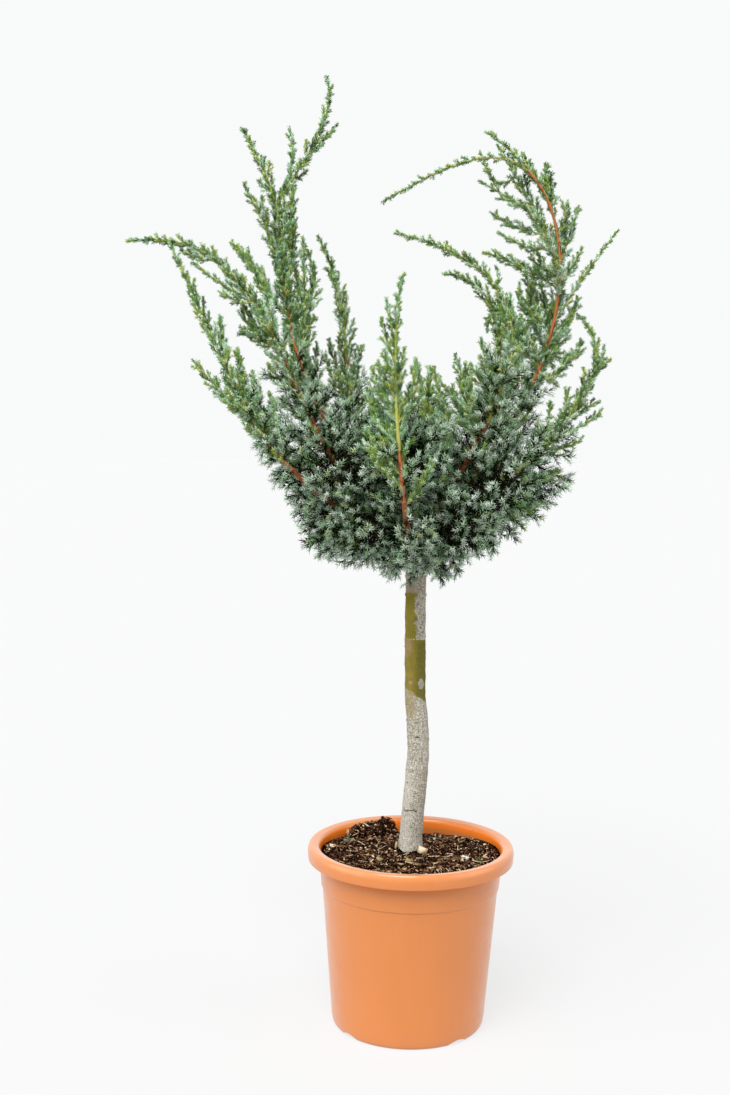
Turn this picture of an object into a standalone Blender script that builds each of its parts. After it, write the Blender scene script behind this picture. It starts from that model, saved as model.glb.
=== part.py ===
"""A potted Chinese juniper, grafted on a bare trunk as a small standard, with long loose shoots.

Run it with blender --background --python part.py, or from Blender's text editor. Lengths are metres.
The origin is the middle of the pot's flat underside, +Z is up and +X is the plant's right from the front.
"""

import math
import random

import bmesh
import bpy
import numpy as np
from mathutils import Vector

# Gap between solids that touch on the real plant, and between a spray and any other node.
GAP = 0.0003
CLEARANCE = 0.0008

# Pot: a thrown-out rim rolled over a tapering wall, all from these radii and heights.
POT_SEGMENTS = 36
POT_WALL = 0.0024
POT_FLOOR = 0.003
POT_BASE_RADIUS = 0.0955
POT_FOOT_RADIUS = 0.0994
POT_BODY_RADIUS = 0.1126
POT_BODY_TOP = 0.1838
POT_COLLAR_FOOT = 0.1853
POT_COLLAR_FOOT_RADIUS = 0.1142
POT_COLLAR_RADIUS = 0.1168
POT_RIM_FOOT = 0.2197
POT_RIM_RADIUS = 0.132
POT_MOUTH_RADIUS = 0.1188
POT_MOUTH_HEIGHT = 0.2373
POT_HEIGHT = 0.2390
NOTCH_ANGLES = [math.radians(39 + 90 * turn) for turn in range(4)]
NOTCH_WIDTH = 0.026
NOTCH_HEIGHT = 0.0055

# Compost: a low mound with a flat top where the trunk stands.
SOIL_EDGE = 0.2190
SOIL_TOP = 0.2290
SOIL_TOP_RADIUS = 0.032

# Trunk: height, lean in x and radius, from the flat cut at the compost to the graft head.
TRUNK_Y = 0.012
TRUNK_SIDES = 12
TRUNK_STATIONS = [
    (SOIL_TOP + GAP, 0.0001, 0.0166),
    (0.242, 0.0004, 0.0154),
    (0.260, 0.0015, 0.0152),
    (0.303, 0.0045, 0.0150),
    (0.335, 0.0066, 0.0149),
    (0.358, 0.0080, 0.0144),
    (0.382, 0.0070, 0.0145),
    (0.413, 0.0041, 0.0141),
    (0.430, 0.0023, 0.0138),
    (0.541, 0.0006, 0.0137),
    (0.578, 0.0005, 0.0131),
]
HEAD_RADIUS = 0.0175
HEAD_FOOT = 0.589
HEAD_TOP = 0.672

# Boughs: each leaves the head at its own height and follows a Bezier curve through two pulls to a tip.
# The bough is the bare share of it, and a foliage mass grows from there on.
BOUGH_SIDES = 6
BOUGH_RINGS = 8
BOUGH_ROOT = 0.0043
BOUGH_TIP = 0.0029
LEADER_TIP = 0.0007
LEADERS = {
    "left_tall": dict(height=0.648, pulls=[(-0.162, 0.036, 0.760), (-0.177, 0.038, 0.943)],
                      tip=(-0.172, 0.030, 1.040), bare=0.36),
    "left_arch": dict(height=0.628, pulls=[(-0.185, -0.040, 0.720), (-0.138, -0.057, 1.005)],
                      tip=(-0.345, -0.050, 0.974), bare=0.34),
    "left_low": dict(height=0.604, pulls=[(-0.219, -0.145, 0.746), (-0.185, -0.087, 0.763)],
                     tip=(-0.294, -0.065, 0.975), bare=0.34),
    "back_left": dict(height=0.615, pulls=[(-0.134, 0.136, 0.760), (-0.057, 0.091, 0.882)],
                      tip=(-0.129, 0.100, 0.999), bare=0.36),
    "back_left_tall": dict(height=0.656, pulls=[(-0.121, 0.190, 0.735), (-0.168, 0.194, 0.841)],
                           tip=(-0.169, 0.190, 0.958), bare=0.36),
    "front": dict(height=0.606, pulls=[(-0.009, -0.238, 0.568), (-0.056, -0.115, 0.863)],
                  tip=(-0.030, -0.128, 0.939), bare=0.40),
    "right_tall": dict(height=0.648, pulls=[(0.106, 0.026, 0.714), (0.203, 0.062, 0.889)],
                       tip=(0.161, 0.035, 1.014), bare=0.42),
    "right_low": dict(height=0.622, pulls=[(0.115, -0.014, 0.698), (0.266, -0.040, 0.831)],
                      tip=(0.183, -0.030, 0.902), bare=0.34),
    "right_inner": dict(height=0.632, pulls=[(0.075, -0.126, 0.762), (0.200, -0.073, 0.948)],
                        tip=(-0.036, -0.105, 0.987), bare=0.34),
    "right_mid": dict(height=0.655, pulls=[(0.110, 0.144, 0.749), (0.152, 0.081, 0.948)],
                      tip=(0.028, 0.075, 0.958), bare=0.36),
    "back": dict(height=0.606, pulls=[(0.004, 0.161, 0.622), (0.019, 0.158, 0.806)],
                 tip=(0.019, 0.180, 0.842), bare=0.44),
    "back_right": dict(height=0.625, pulls=[(0.094, 0.169, 0.742), (0.153, 0.198, 0.829)],
                       tip=(0.155, 0.190, 0.975), bare=0.36),
}
# The right tall shoot bends round the open middle, so the stretch past its bend is a mass of its own.
ARCH_PULLS = [(0.119, 0.011, 1.134), (0.026, -0.002, 1.066)]
ARCH_TIP = (-0.050, -0.030, 1.029)
BEND_RADIUS = 0.0018
# Two short leaders with no bare bough, which hang out of the low crown.
SKIRTS = {
    "right_skirt": dict(height=0.600, pulls=[(0.059, 0.001, 0.653), (0.129, -0.015, 0.660)],
                        tip=(0.188, -0.010, 0.696)),
    "left_skirt": dict(height=0.597, pulls=[(-0.038, -0.004, 0.648), (-0.132, 0.002, 0.660)],
                       tip=(-0.137, 0.000, 0.605)),
}
# Forks: the place along the leader, a pull, and the tip.
FORKS = {
    "left_tall": [(0.99, (-0.093, 0.008, 1.140), (-0.119, 0.010, 1.172)),
                  (0.93, (-0.197, 0.029, 1.088), (-0.219, 0.030, 1.117)),
                  (0.97, (-0.151, 0.043, 1.071), (-0.162, 0.045, 1.121)),
                  (0.88, (-0.196, 0.016, 1.006), (-0.214, 0.010, 1.051)),
                  (0.61, (-0.191, 0.028, 0.936), (-0.232, 0.024, 0.984)),
                  (0.58, (-0.119, 0.060, 0.911), (-0.139, 0.060, 0.979))],
    "left_arch": [(0.55, (-0.182, -0.027, 0.953), (-0.227, -0.020, 0.979)),
                  (0.64, (-0.218, -0.063, 0.906), (-0.238, -0.065, 0.921))],
    "left_low": [(0.54, (-0.230, -0.100, 0.794), (-0.266, -0.104, 0.836)),
                 (0.60, (-0.212, -0.054, 0.824), (-0.217, -0.050, 0.857)),
                 (0.72, (-0.232, -0.069, 0.869), (-0.237, -0.060, 0.894))],
    "right_tall": [(0.57, (0.160, 0.021, 0.808), (0.196, 0.010, 0.873)),
                   (0.62, (0.192, -0.022, 0.937), (0.229, -0.030, 0.998)),
                   (0.78, (0.153, -0.041, 1.030), (0.083, -0.035, 1.031)),
                   (0.80, (0.119, 0.033, 0.965), (0.074, 0.024, 0.976)),
                   (0.86, (0.148, 0.037, 1.016), (0.075, 0.033, 1.116)),
                   (0.88, (0.185, 0.042, 1.012), (0.191, 0.042, 1.034))],
    "right_arch": [(0.03, (0.158, 0.050, 1.046), (0.151, 0.050, 1.081))],
    "right_low": [(0.51, (0.189, -0.012, 0.752), (0.202, 0.000, 0.758)),
                  (0.60, (0.200, -0.043, 0.796), (0.216, -0.045, 0.797)),
                  (0.74, (0.209, -0.034, 0.849), (0.224, -0.040, 0.852))],
    "right_inner": [(0.35, (0.077, -0.074, 0.821), (0.064, -0.074, 0.874)),
                    (0.56, (0.091, -0.059, 0.934), (0.075, -0.050, 0.881))],
}
FORK_RADIUS = 0.0016

# Growth rule for the loose shoots: side shoots turn round their leader by the golden angle.
GOLDEN_TURN = math.radians(137.5)
SHOOT_ANGLE = math.radians(36)
SHOOT_SPACING = 0.0148
SHOOT_LENGTHS = (0.052, 0.016)
FORK_LENGTHS = (0.032, 0.014)
SHOOT_WIDTH = 0.0105
FULL_WIDTH_LENGTH = 0.028
SPRAY_SIDES = 3
PLUME_RINGS = 10

# Dense lower crown: rings of masses round the head, as (azimuth, distance from the head, height).
DENSE_SPACE = 0.070
DENSE_CORE = 0.042
CORE_LEAST = 0.008
CORE_FEELER = 0.0105
CORE_NUDGE = 0.013
DENSE_TUFTS = 24
TUFT_WIDTH = 0.017
DENSE_STEM = 0.0021
DENSE_MASSES = {
    "low": [(18, 0.104, 0.676), (80, 0.098, 0.668), (140, 0.096, 0.668), (192, 0.102, 0.674),
            (245, 0.092, 0.664), (300, 0.096, 0.664)],
    "high": [(32, 0.132, 0.738), (98, 0.120, 0.742), (158, 0.122, 0.745), (212, 0.125, 0.738),
             (268, 0.104, 0.732), (325, 0.128, 0.735)],
    "top": [(90, 0.012, 0.756)],
}

BARK = ((0.36, 0.33, 0.25, 1), 0.85, 0.0)
BOUGH_BARK = ((0.33, 0.13, 0.055, 1), 0.7, 0.0)
FOLIAGE = ((0.10, 0.20, 0.15, 1), 0.65, 0.0)
TERRACOTTA = ((0.62, 0.21, 0.095, 1), 0.5, 0.0)
COMPOST = ((0.045, 0.026, 0.016, 1), 0.95, 0.0)

HEAD_AXIS = Vector((0.0008, TRUNK_Y, 0.0))

# Every capsule that a node has taken: owner, start, end and radius.
TAKEN = []


def clear_scene():
    for obj in list(bpy.data.objects):
        bpy.data.objects.remove(obj)


def material(name, finish):
    """A Principled material from a colour, a roughness and a metallic value."""
    colour, roughness, metallic = finish
    made = bpy.data.materials.get(name) or bpy.data.materials.new(name)
    made.use_nodes = True
    shader = made.node_tree.nodes["Principled BSDF"]
    shader.inputs["Base Color"].default_value = colour
    shader.inputs["Roughness"].default_value = roughness
    shader.inputs["Metallic"].default_value = metallic
    return made


def add_object(name, mesh, finish=None):
    """An object for the bmesh, which is freed. With no finish it is a helper."""
    data = bpy.data.meshes.new(name)
    mesh.to_mesh(data)
    mesh.free()
    obj = bpy.data.objects.new(name, data)
    bpy.context.scene.collection.objects.link(obj)
    if finish:
        data.materials.append(material(*finish))
    return obj


def bezier(controls, share):
    """Point at a share of the way along a Bezier curve, by halving between its controls."""
    points = [Vector(control) for control in controls]
    while len(points) > 1:
        points = [a.lerp(b, share) for a, b in zip(points, points[1:])]
    return points[0]


def curve_path(controls, first, last, count):
    """Points at even shares of a Bezier curve from first to last."""
    return [bezier(controls, first + (last - first) * i / (count - 1)) for i in range(count)]


def heading(controls, share):
    """Unit direction of a Bezier curve at a share of the way along it."""
    return (bezier(controls, share + 0.001) - bezier(controls, share - 0.001)).normalized()


def directions(path):
    """Unit direction of travel at each point of a path."""
    ends = [(path[max(i - 1, 0)], path[min(i + 1, len(path) - 1)]) for i in range(len(path))]
    return [(b - a).normalized() for a, b in ends]


def side_of(direction):
    """A unit vector square to a direction, level where it can be."""
    level = direction.cross(Vector((0, 0, 1)))
    if level.length < 0.05:
        level = direction.cross(Vector((0, 1, 0)))
    return level.normalized()


def turned(direction, turn, angle):
    """The direction tilted by an angle, toward the side that the turn gives."""
    side = side_of(direction)
    other = side.cross(direction)
    outward = side * math.cos(turn) + other * math.sin(turn)
    return (direction * math.cos(angle) + outward * math.sin(angle)).normalized()


def loft(path, radii, sides, facings=None):
    """A closed tube of rings along a path. A radius of 0 makes a point, and facings turn single rings."""
    mesh = bmesh.new()
    ways = directions(path)
    for index, facing in (facings or {}).items():
        ways[index] = facing
    side = side_of(ways[0])
    rings = []
    for point, way, radius in zip(path, ways, radii):
        side = (side - way * side.dot(way)).normalized()
        other = way.cross(side)
        if radius == 0:
            rings.append([mesh.verts.new(point)])
            continue
        turns = [math.tau * k / sides for k in range(sides)]
        ring = [mesh.verts.new(point + (side * math.cos(t) + other * math.sin(t)) * radius) for t in turns]
        rings.append(ring)
    for low, high in zip(rings, rings[1:]):
        for k in range(sides):
            corners = [low[k % len(low)], low[(k + 1) % len(low)], high[(k + 1) % len(high)], high[k % len(high)]]
            mesh.faces.new(list(dict.fromkeys(corners)))
    if len(rings[0]) > 1:
        mesh.faces.new(rings[0][::-1])
    if len(rings[-1]) > 1:
        mesh.faces.new(rings[-1])
    return mesh


def lathe(profile, segments):
    """A solid of revolution from a profile of (radius, height) points, with radius 0 at both ends."""
    mesh = bmesh.new()
    points = [mesh.verts.new((radius, 0, height)) for radius, height in profile]
    edges = [mesh.edges.new(pair) for pair in zip(points, points[1:])]
    bmesh.ops.spin(mesh, geom=points + edges, axis=(0, 0, 1), angle=math.tau, steps=segments, use_merge=True)
    bmesh.ops.remove_doubles(mesh, verts=mesh.verts[:], dist=1e-6)
    bmesh.ops.recalc_face_normals(mesh, faces=mesh.faces[:])
    return mesh


def claim(owner, path, radii):
    """Notes the space that a limb or spray of a node fills."""
    for start, end, low, high in zip(path, path[1:], radii, radii[1:]):
        TAKEN.append((owner, *start, *end, max(low, high)))


def room(owner, start, end, radius, besides=None):
    """Distance from a capsule to the nearest capsule of any other node, besides one that may be left out."""
    others = np.array([row[1:] for row in TAKEN if row[0] not in (owner, besides)])
    p, q = np.array(start), np.array(end)
    a, b = others[:, 0:3], others[:, 3:6]
    d, e, r = q - p, b - a, p - a
    dd, ee = d @ d + 1e-12, (e * e).sum(1) + 1e-12
    de, dr, er = e @ d, r @ d, (e * r).sum(1)
    lean = dd * ee - de * de
    s = np.clip(np.where(lean > 1e-12 * dd, (de * er - dr * ee) / np.maximum(lean, 1e-18), 0), 0, 1)
    t = np.clip((de * s + er) / ee, 0, 1)
    s = np.clip((de * t - dr) / dd, 0, 1)
    gaps = np.linalg.norm((p + d * s[:, None]) - (a + e * t[:, None]), axis=1) - others[:, 6] - radius
    return gaps.min()


def is_clear(owner, path, radii):
    """Whether every stretch of a path clears all other nodes and the head."""
    pairs = zip(path, path[1:], radii, radii[1:])
    return all(room(owner, start, end, max(low, high)) > CLEARANCE for start, end, low, high in pairs)


def fuse(name, pieces, finish):
    """One solid from overlapping closed pieces: a Boolean union on a collection, applied, largest island kept."""
    helpers = bpy.data.collections.new(name + "_pieces")
    bpy.context.scene.collection.children.link(helpers)
    body = pieces[0]
    for piece in pieces[1:]:
        bpy.context.scene.collection.objects.unlink(piece)
        helpers.objects.link(piece)
    if len(pieces) > 1:
        join = body.modifiers.new("join", "BOOLEAN")
        join.operation = "UNION"
        join.operand_type = "COLLECTION"
        join.collection = helpers
        join.solver = "MANIFOLD"
        with bpy.context.temp_override(object=body):
            bpy.ops.object.modifier_apply(modifier=join.name)
    for piece in pieces[1:]:
        bpy.data.objects.remove(piece)
    bpy.data.collections.remove(helpers)
    body.name = name
    body.data.name = name
    keep_largest(body.data)
    body.data.materials.clear()
    body.data.materials.append(material(*finish))
    return body


def keep_largest(data):
    """Drops every island of a mesh but the one with most faces."""
    mesh = bmesh.new()
    mesh.from_mesh(data)
    unseen = set(mesh.faces)
    islands = []
    while unseen:
        stack = [unseen.pop()]
        island = list(stack)
        while stack:
            face = stack.pop()
            for edge in face.edges:
                fresh = [other for other in edge.link_faces if other in unseen]
                unseen.difference_update(fresh)
                stack += fresh
                island += fresh
        islands.append(island)
    islands.sort(key=len)
    scrap = [face for island in islands[:-1] for face in island]
    bmesh.ops.delete(mesh, geom=scrap, context="FACES")
    mesh.to_mesh(data)
    mesh.free()


def build_pot():
    """A lathe-turned shell with a hollow rolled rim and four drain notches cut in its foot."""
    skirt = POT_RIM_RADIUS - POT_WALL
    outside = [
        (0, 0), (POT_BASE_RADIUS, 0), (POT_FOOT_RADIUS - 0.0012, 0.004), (POT_FOOT_RADIUS, 0.012),
        (POT_BODY_RADIUS, POT_BODY_TOP), (POT_COLLAR_FOOT_RADIUS, POT_COLLAR_FOOT),
        (POT_COLLAR_RADIUS, POT_RIM_FOOT), (POT_COLLAR_RADIUS, POT_HEIGHT - 0.009),
        (skirt - 0.004, POT_HEIGHT - 0.0045), (skirt, POT_HEIGHT - 0.008),
        (skirt, POT_RIM_FOOT), (POT_RIM_RADIUS - 0.0008, POT_RIM_FOOT), (POT_RIM_RADIUS, POT_HEIGHT - 0.0083),
        (POT_RIM_RADIUS - 0.0025, POT_HEIGHT - 0.0022), (POT_RIM_RADIUS - 0.0065, POT_HEIGHT),
    ]
    inside = [
        (POT_MOUTH_RADIUS, POT_MOUTH_HEIGHT), (POT_MOUTH_RADIUS - 0.003, POT_MOUTH_HEIGHT - 0.004),
        (POT_COLLAR_RADIUS - POT_WALL, POT_RIM_FOOT), (POT_COLLAR_FOOT_RADIUS - POT_WALL, POT_COLLAR_FOOT),
        (POT_BODY_RADIUS - POT_WALL, POT_BODY_TOP - 0.002), (POT_FOOT_RADIUS - POT_WALL, 0.012),
        (POT_BASE_RADIUS - POT_WALL, POT_FLOOR), (0, POT_FLOOR),
    ]
    pot = add_object("pot", lathe(outside + inside, POT_SEGMENTS), ("terracotta plastic", TERRACOTTA))
    for index, angle in enumerate(NOTCH_ANGLES):
        cutter = bmesh.new()
        bmesh.ops.create_cube(cutter, size=1)
        notch = add_object(f"notch_{index}", cutter)
        notch.scale = (0.012, NOTCH_WIDTH, 2 * NOTCH_HEIGHT)
        notch.location = (
            (POT_BASE_RADIUS + 0.004) * math.sin(angle),
            -(POT_BASE_RADIUS + 0.004) * math.cos(angle),
            0,
        )
        notch.rotation_euler.z = angle - math.pi / 2
        notch.hide_render = True
        notch.hide_viewport = True
        cut = pot.modifiers.new(notch.name, "BOOLEAN")
        cut.operation = "DIFFERENCE"
        cut.object = notch
    return pot


def build_soil():
    """Compost that fills the pot to just under its rim."""
    foot = POT_COLLAR_FOOT_RADIUS - POT_WALL - GAP
    top = POT_COLLAR_RADIUS - POT_WALL - GAP
    shoulder = SOIL_EDGE - 0.003
    edge = foot + (top - foot) * (shoulder - POT_COLLAR_FOOT) / (POT_RIM_FOOT - POT_COLLAR_FOOT)
    profile = [
        (0, POT_FLOOR + GAP), (POT_BASE_RADIUS - POT_WALL - 0.001, POT_FLOOR + GAP),
        (POT_FOOT_RADIUS - POT_WALL - GAP, 0.0125), (POT_BODY_RADIUS - POT_WALL - GAP, POT_BODY_TOP - 0.002),
        (foot, POT_COLLAR_FOOT + 0.001), (edge, shoulder), (edge - 0.006, SOIL_EDGE),
        (0.075, SOIL_EDGE + 0.005), (SOIL_TOP_RADIUS + 0.012, SOIL_TOP), (0, SOIL_TOP),
    ]
    return add_object("potting_soil", lathe(profile, POT_SEGMENTS), ("compost", COMPOST))


def build_trunk():
    """A leaning tapered trunk from its flat foot to the graft head that the boughs leave."""
    stations = TRUNK_STATIONS + [
        (HEAD_FOOT, HEAD_AXIS.x, HEAD_RADIUS), (HEAD_TOP, HEAD_AXIS.x, HEAD_RADIUS),
        (HEAD_TOP + 0.007, HEAD_AXIS.x, 0.011), (HEAD_TOP + 0.009, HEAD_AXIS.x, 0),
    ]
    path = [Vector((x, TRUNK_Y, z)) for z, x, radius in stations]
    radii = [radius for z, x, radius in stations]
    level = {index: Vector((0, 0, 1)) for index in range(len(path))}
    trunk = add_object("trunk", loft(path, radii, TRUNK_SIDES, level), ("bark", BARK))
    claim("trunk", path, radii)
    return trunk


def leave_head(controls):
    """The share of a Bezier curve at which it comes out of the head, and its level way out there."""
    share = 0.0
    while (bezier(controls, share) - HEAD_AXIS).xy.length < HEAD_RADIUS + GAP:
        share += 0.0005
    way = bezier(controls, share) - HEAD_AXIS
    return share, Vector((way.x, way.y, 0)).normalized()


def leader_controls(shape):
    start = Vector((HEAD_AXIS.x, HEAD_AXIS.y, shape["height"]))
    return [start, *shape["pulls"], shape["tip"]]


def build_bough(name, shape):
    """The bare limb of a leader, from the head to just short of where its foliage begins."""
    controls = leader_controls(shape)
    first, way = leave_head(controls)
    path = curve_path(controls, first, shape["bare"], BOUGH_RINGS)
    end = heading(controls, shape["bare"])
    path[-1] -= end * GAP / 2
    radii = taper(BOUGH_RINGS, BOUGH_ROOT, BOUGH_TIP)
    limb = loft(path, radii, BOUGH_SIDES, {0: way, BOUGH_RINGS - 1: end})
    claim(name, path, radii)
    return add_object(f"bough_{name}", limb, ("bough bark", BOUGH_BARK))


def taper(count, low, high):
    return [low + (high - low) * i / (count - 1) for i in range(count)]


def spray(start, way, length, width):
    """A slim spindle of eight faces, which stands for a shoot clad in needles."""
    path = [start, start + way * length * 0.36, start + way * length]
    return path, [0, width / 2, 0]


class Mass:
    """One node of foliage: closed pieces that all grow from its stem and are fused at the end."""

    def __init__(self, name):
        self.name = name
        self.random = random.Random(name)
        self.pieces = []

    def add(self, path, radii, sides, facings=None):
        mesh = loft(path, radii, sides, facings)
        self.pieces.append(add_object(f"{self.name}_{len(self.pieces)}", mesh))
        claim(self.name, path, [max(radius, 0.0005) for radius in radii])

    def grow_spray(self, start, way, length, width):
        """Adds a spray where it clears everything else, or else a shorter one, or none."""
        for share in (1.0, 0.72, 0.5):
            path, radii = spray(start, way, length * share, width)
            if is_clear(self.name, path, [width / 3, width / 2, width / 6]):
                self.add(path, radii, SPRAY_SIDES)
                return path
        return None

    def grow_shoots(self, path, from_share=0.0, lengths=SHOOT_LENGTHS):
        """Side shoots along a path, longer near its foot, and one at its tip."""
        ways = directions(path)
        steps = [(b - a).length for a, b in zip(path, path[1:])]
        whole = sum(steps)
        turn = self.random.uniform(0, math.tau)
        along = whole * from_share + SHOOT_SPACING * 0.6
        while along < whole - SHOOT_SPACING * 0.4:
            index, into = 0, along
            while into > steps[index]:
                into -= steps[index]
                index += 1
            point = path[index].lerp(path[index + 1], into / steps[index])
            share = along / whole
            turn += GOLDEN_TURN
            length = (lengths[0] + (lengths[1] - lengths[0]) * share) * self.random.uniform(0.8, 1.2)
            way = turned(ways[index], turn, SHOOT_ANGLE * self.random.uniform(0.85, 1.2))
            width = SHOOT_WIDTH * min(1.0, length / FULL_WIDTH_LENGTH) * self.random.uniform(0.85, 1.1)
            self.grow_spray(point, way, length, width)
            along += SHOOT_SPACING * self.random.uniform(0.85, 1.15)
        start = path[-1] - ways[-1] * 0.020
        self.grow_spray(start, ways[-1], 0.024, SHOOT_WIDTH * 0.6)

    def grow_fork(self, controls, start_radius):
        """A side branch with shoots of its own, sunk in the branch that it leaves."""
        path = curve_path(controls, 0.0, 1.0, 6)
        radii = taper(6, start_radius, LEADER_TIP)
        if not is_clear(self.name, path, radii):
            print(self.name, "left out a fork that had no room")
            return
        self.add(path, radii, 3)
        self.grow_shoots(path, 0.12, FORK_LENGTHS)

    def finish(self):
        return fuse(self.name, self.pieces, ("juniper foliage", FOLIAGE))


def open_plume(name, controls, first, radius, end_radius, way=None):
    """The stem of a plume, facing its bough's tip, or the head where a way out of that is given."""
    path = curve_path(controls, first, 1.0, PLUME_RINGS)
    if way is None:
        way = heading(controls, first)
        path[0] += way * GAP / 2
    end = heading(controls, 1.0)
    path[-1] -= end * GAP / 2
    mass = Mass(f"foliage_{name}")
    mass.add(path, taper(PLUME_RINGS, radius, end_radius), 4, {0: way, PLUME_RINGS - 1: end})
    return mass, path


def roomiest(owner, centre):
    """The place on a small grid round the centre that lies furthest from every limb."""
    steps = (-CORE_NUDGE, 0.0, CORE_NUDGE)
    places = [centre + Vector((x, y, z)) for x in steps for y in steps for z in steps]
    return max(places, key=lambda place: min(room(owner, place, place, 0.0), CORE_FEELER * 2))


def open_dense(name, azimuth, distance, height):
    """The stem and core of a dense mass. The stem leaves the head where it has most room."""
    azimuth = math.radians(azimuth)
    outward = Vector((math.cos(azimuth), math.sin(azimuth), 0))
    mass = Mass(f"foliage_{name}")
    centre = roomiest(mass.name, HEAD_AXIS + outward * distance + Vector((0, 0, height)))
    best = None
    for step in range(13):
        for swing in (0, -0.35, 0.35, -0.7, 0.7):
            low = HEAD_FOOT + 0.004 + (HEAD_TOP - HEAD_FOOT - 0.008) * step / 12
            aim = azimuth + swing
            way = Vector((math.cos(aim), math.sin(aim), 0))
            start = HEAD_AXIS + way * (HEAD_RADIUS + GAP) + Vector((0, 0, low))
            bend = start.lerp(centre, 0.5) + way * 0.012
            path = curve_path([start, bend, centre], 0.0, 1.0, 6)
            radii = taper(6, DENSE_STEM, DENSE_STEM * 0.7)
            free = min(room(mass.name, a, b, DENSE_STEM, "trunk") for a, b in zip(path, path[1:]))
            if best is None or free > best[0]:
                best = (free, path, radii, way)
    free, path, radii, way = best
    if free < 0.0002:
        print(mass.name, "stem has only", round(free * 1000, 2), "mm")
    mass.add(path, radii, 4, {0: way})
    return mass, centre


def clear_reach(owner, centre, way):
    """How far a core may reach one way before it meets a limb or another core."""
    reach = DENSE_CORE
    while reach > CORE_LEAST and room(owner, centre, centre + way * reach, CORE_FEELER) < CLEARANCE:
        reach -= 0.001
    return reach


def add_core(mass, centre):
    """A faceted ball at the centre, drawn in wherever a limb or another core leaves it less room."""
    ball = bmesh.new()
    bmesh.ops.create_icosphere(ball, subdivisions=1, radius=1)
    middles = {face: face.calc_center_median() for face in ball.faces}
    limits = {face: clear_reach(mass.name, centre, at.normalized()) / at.length for face, at in middles.items()}
    for vert in ball.verts:
        own = clear_reach(mass.name, centre, vert.co.normalized())
        vert.co = vert.co.normalized() * min(own, *(limits[face] for face in vert.link_faces))
    for vert in ball.verts:
        vert.co += centre
    corners = [vert.co.copy() for vert in ball.verts]
    for corner in corners + [face.calc_center_median() for face in ball.faces]:
        TAKEN.append((mass.name, *centre, *corner, CORE_FEELER * 0.8))
    mass.pieces.append(add_object(f"{mass.name}_core", ball))
    return corners


def grow_tufts(mass, centre, corners):
    """Sprays that stand out of the core on all sides, evenly spread and slightly shuffled."""
    for index in range(DENSE_TUFTS):
        rise = 1 - 2 * (index + 0.5) / DENSE_TUFTS
        turn = index * GOLDEN_TURN + mass.random.uniform(-0.2, 0.2)
        flat = math.sqrt(1 - rise * rise)
        way = Vector((flat * math.cos(turn), flat * math.sin(turn), rise + 0.12)).normalized()
        nearest = max(corners, key=lambda corner: (corner - centre).normalized().dot(way))
        root = (nearest - centre).length * 0.5
        reach = DENSE_SPACE * mass.random.uniform(0.86, 1.08)
        width = TUFT_WIDTH * mass.random.uniform(0.85, 1.15)
        mass.grow_spray(centre + way * root, way, reach - root, width)


def build_crown():
    """Boughs first, then every stem, then cores, then the sprays, so that no node grows into another."""
    for name, shape in LEADERS.items():
        build_bough(name, shape)
    plumes = []
    for name, shape in LEADERS.items():
        controls = leader_controls(shape)
        end = BEND_RADIUS if name == "right_tall" else LEADER_TIP
        mass, path = open_plume(name, controls, shape["bare"], BOUGH_TIP, end)
        plumes.append((name, mass, path, controls))
    bend = Vector(LEADERS["right_tall"]["tip"])
    arch_controls = [bend, *ARCH_PULLS, ARCH_TIP]
    mass, path = open_plume("right_arch", arch_controls, 0.0, BEND_RADIUS, LEADER_TIP)
    plumes.append(("right_arch", mass, path, arch_controls))
    for name, shape in SKIRTS.items():
        controls = leader_controls(shape)
        first, way = leave_head(controls)
        mass, path = open_plume(name, controls, first, DENSE_STEM, LEADER_TIP, way)
        plumes.append((name, mass, path, controls))
    dense = []
    for ring, places in DENSE_MASSES.items():
        for index, place in enumerate(places, 1):
            dense.append(open_dense(f"{ring}_{index}", *place))
    cores = [add_core(mass, centre) for mass, centre in dense]
    for name, mass, path, controls in plumes:
        for share, pull, tip in FORKS.get(name, []):
            mass.grow_fork([bezier(controls, share), pull, tip], FORK_RADIUS)
    for name, mass, path, controls in plumes:
        mass.grow_shoots(path, 0.45 if name in SKIRTS else 0.0)
    for (mass, centre), corners in zip(dense, cores):
        grow_tufts(mass, centre, corners)
    for name, mass, path, controls in plumes:
        mass.finish()
    for mass, centre in dense:
        mass.finish()
    print(sum(len(mass.pieces) for name, mass, path, controls in plumes), "plume pieces,",
          sum(len(mass.pieces) for mass, centre in dense), "dense pieces")


def main():
    clear_scene()
    build_pot()
    build_soil()
    build_trunk()
    build_crown()


main()
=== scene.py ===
# %% [markdown]
# A potted Chinese juniper, dressed for its portrait.
#
# The plant is a small standard: a bare trunk in a terracotta coloured plastic pot, with a crown grafted on
# top. Its solid model says where every limb, pot wall and mass of foliage is. This lesson loads that model
# as a fixed frame and grows fine pieces around it: bark with relief, compost with chips, and shoots clad in
# needles. Nothing here moves or resizes the frame. Each new piece only hides the solids it stands for.

# %% Load the frame
import math
import random

import bmesh
import bpy
import numpy as np
from mathutils import Matrix, Vector, noise


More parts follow.
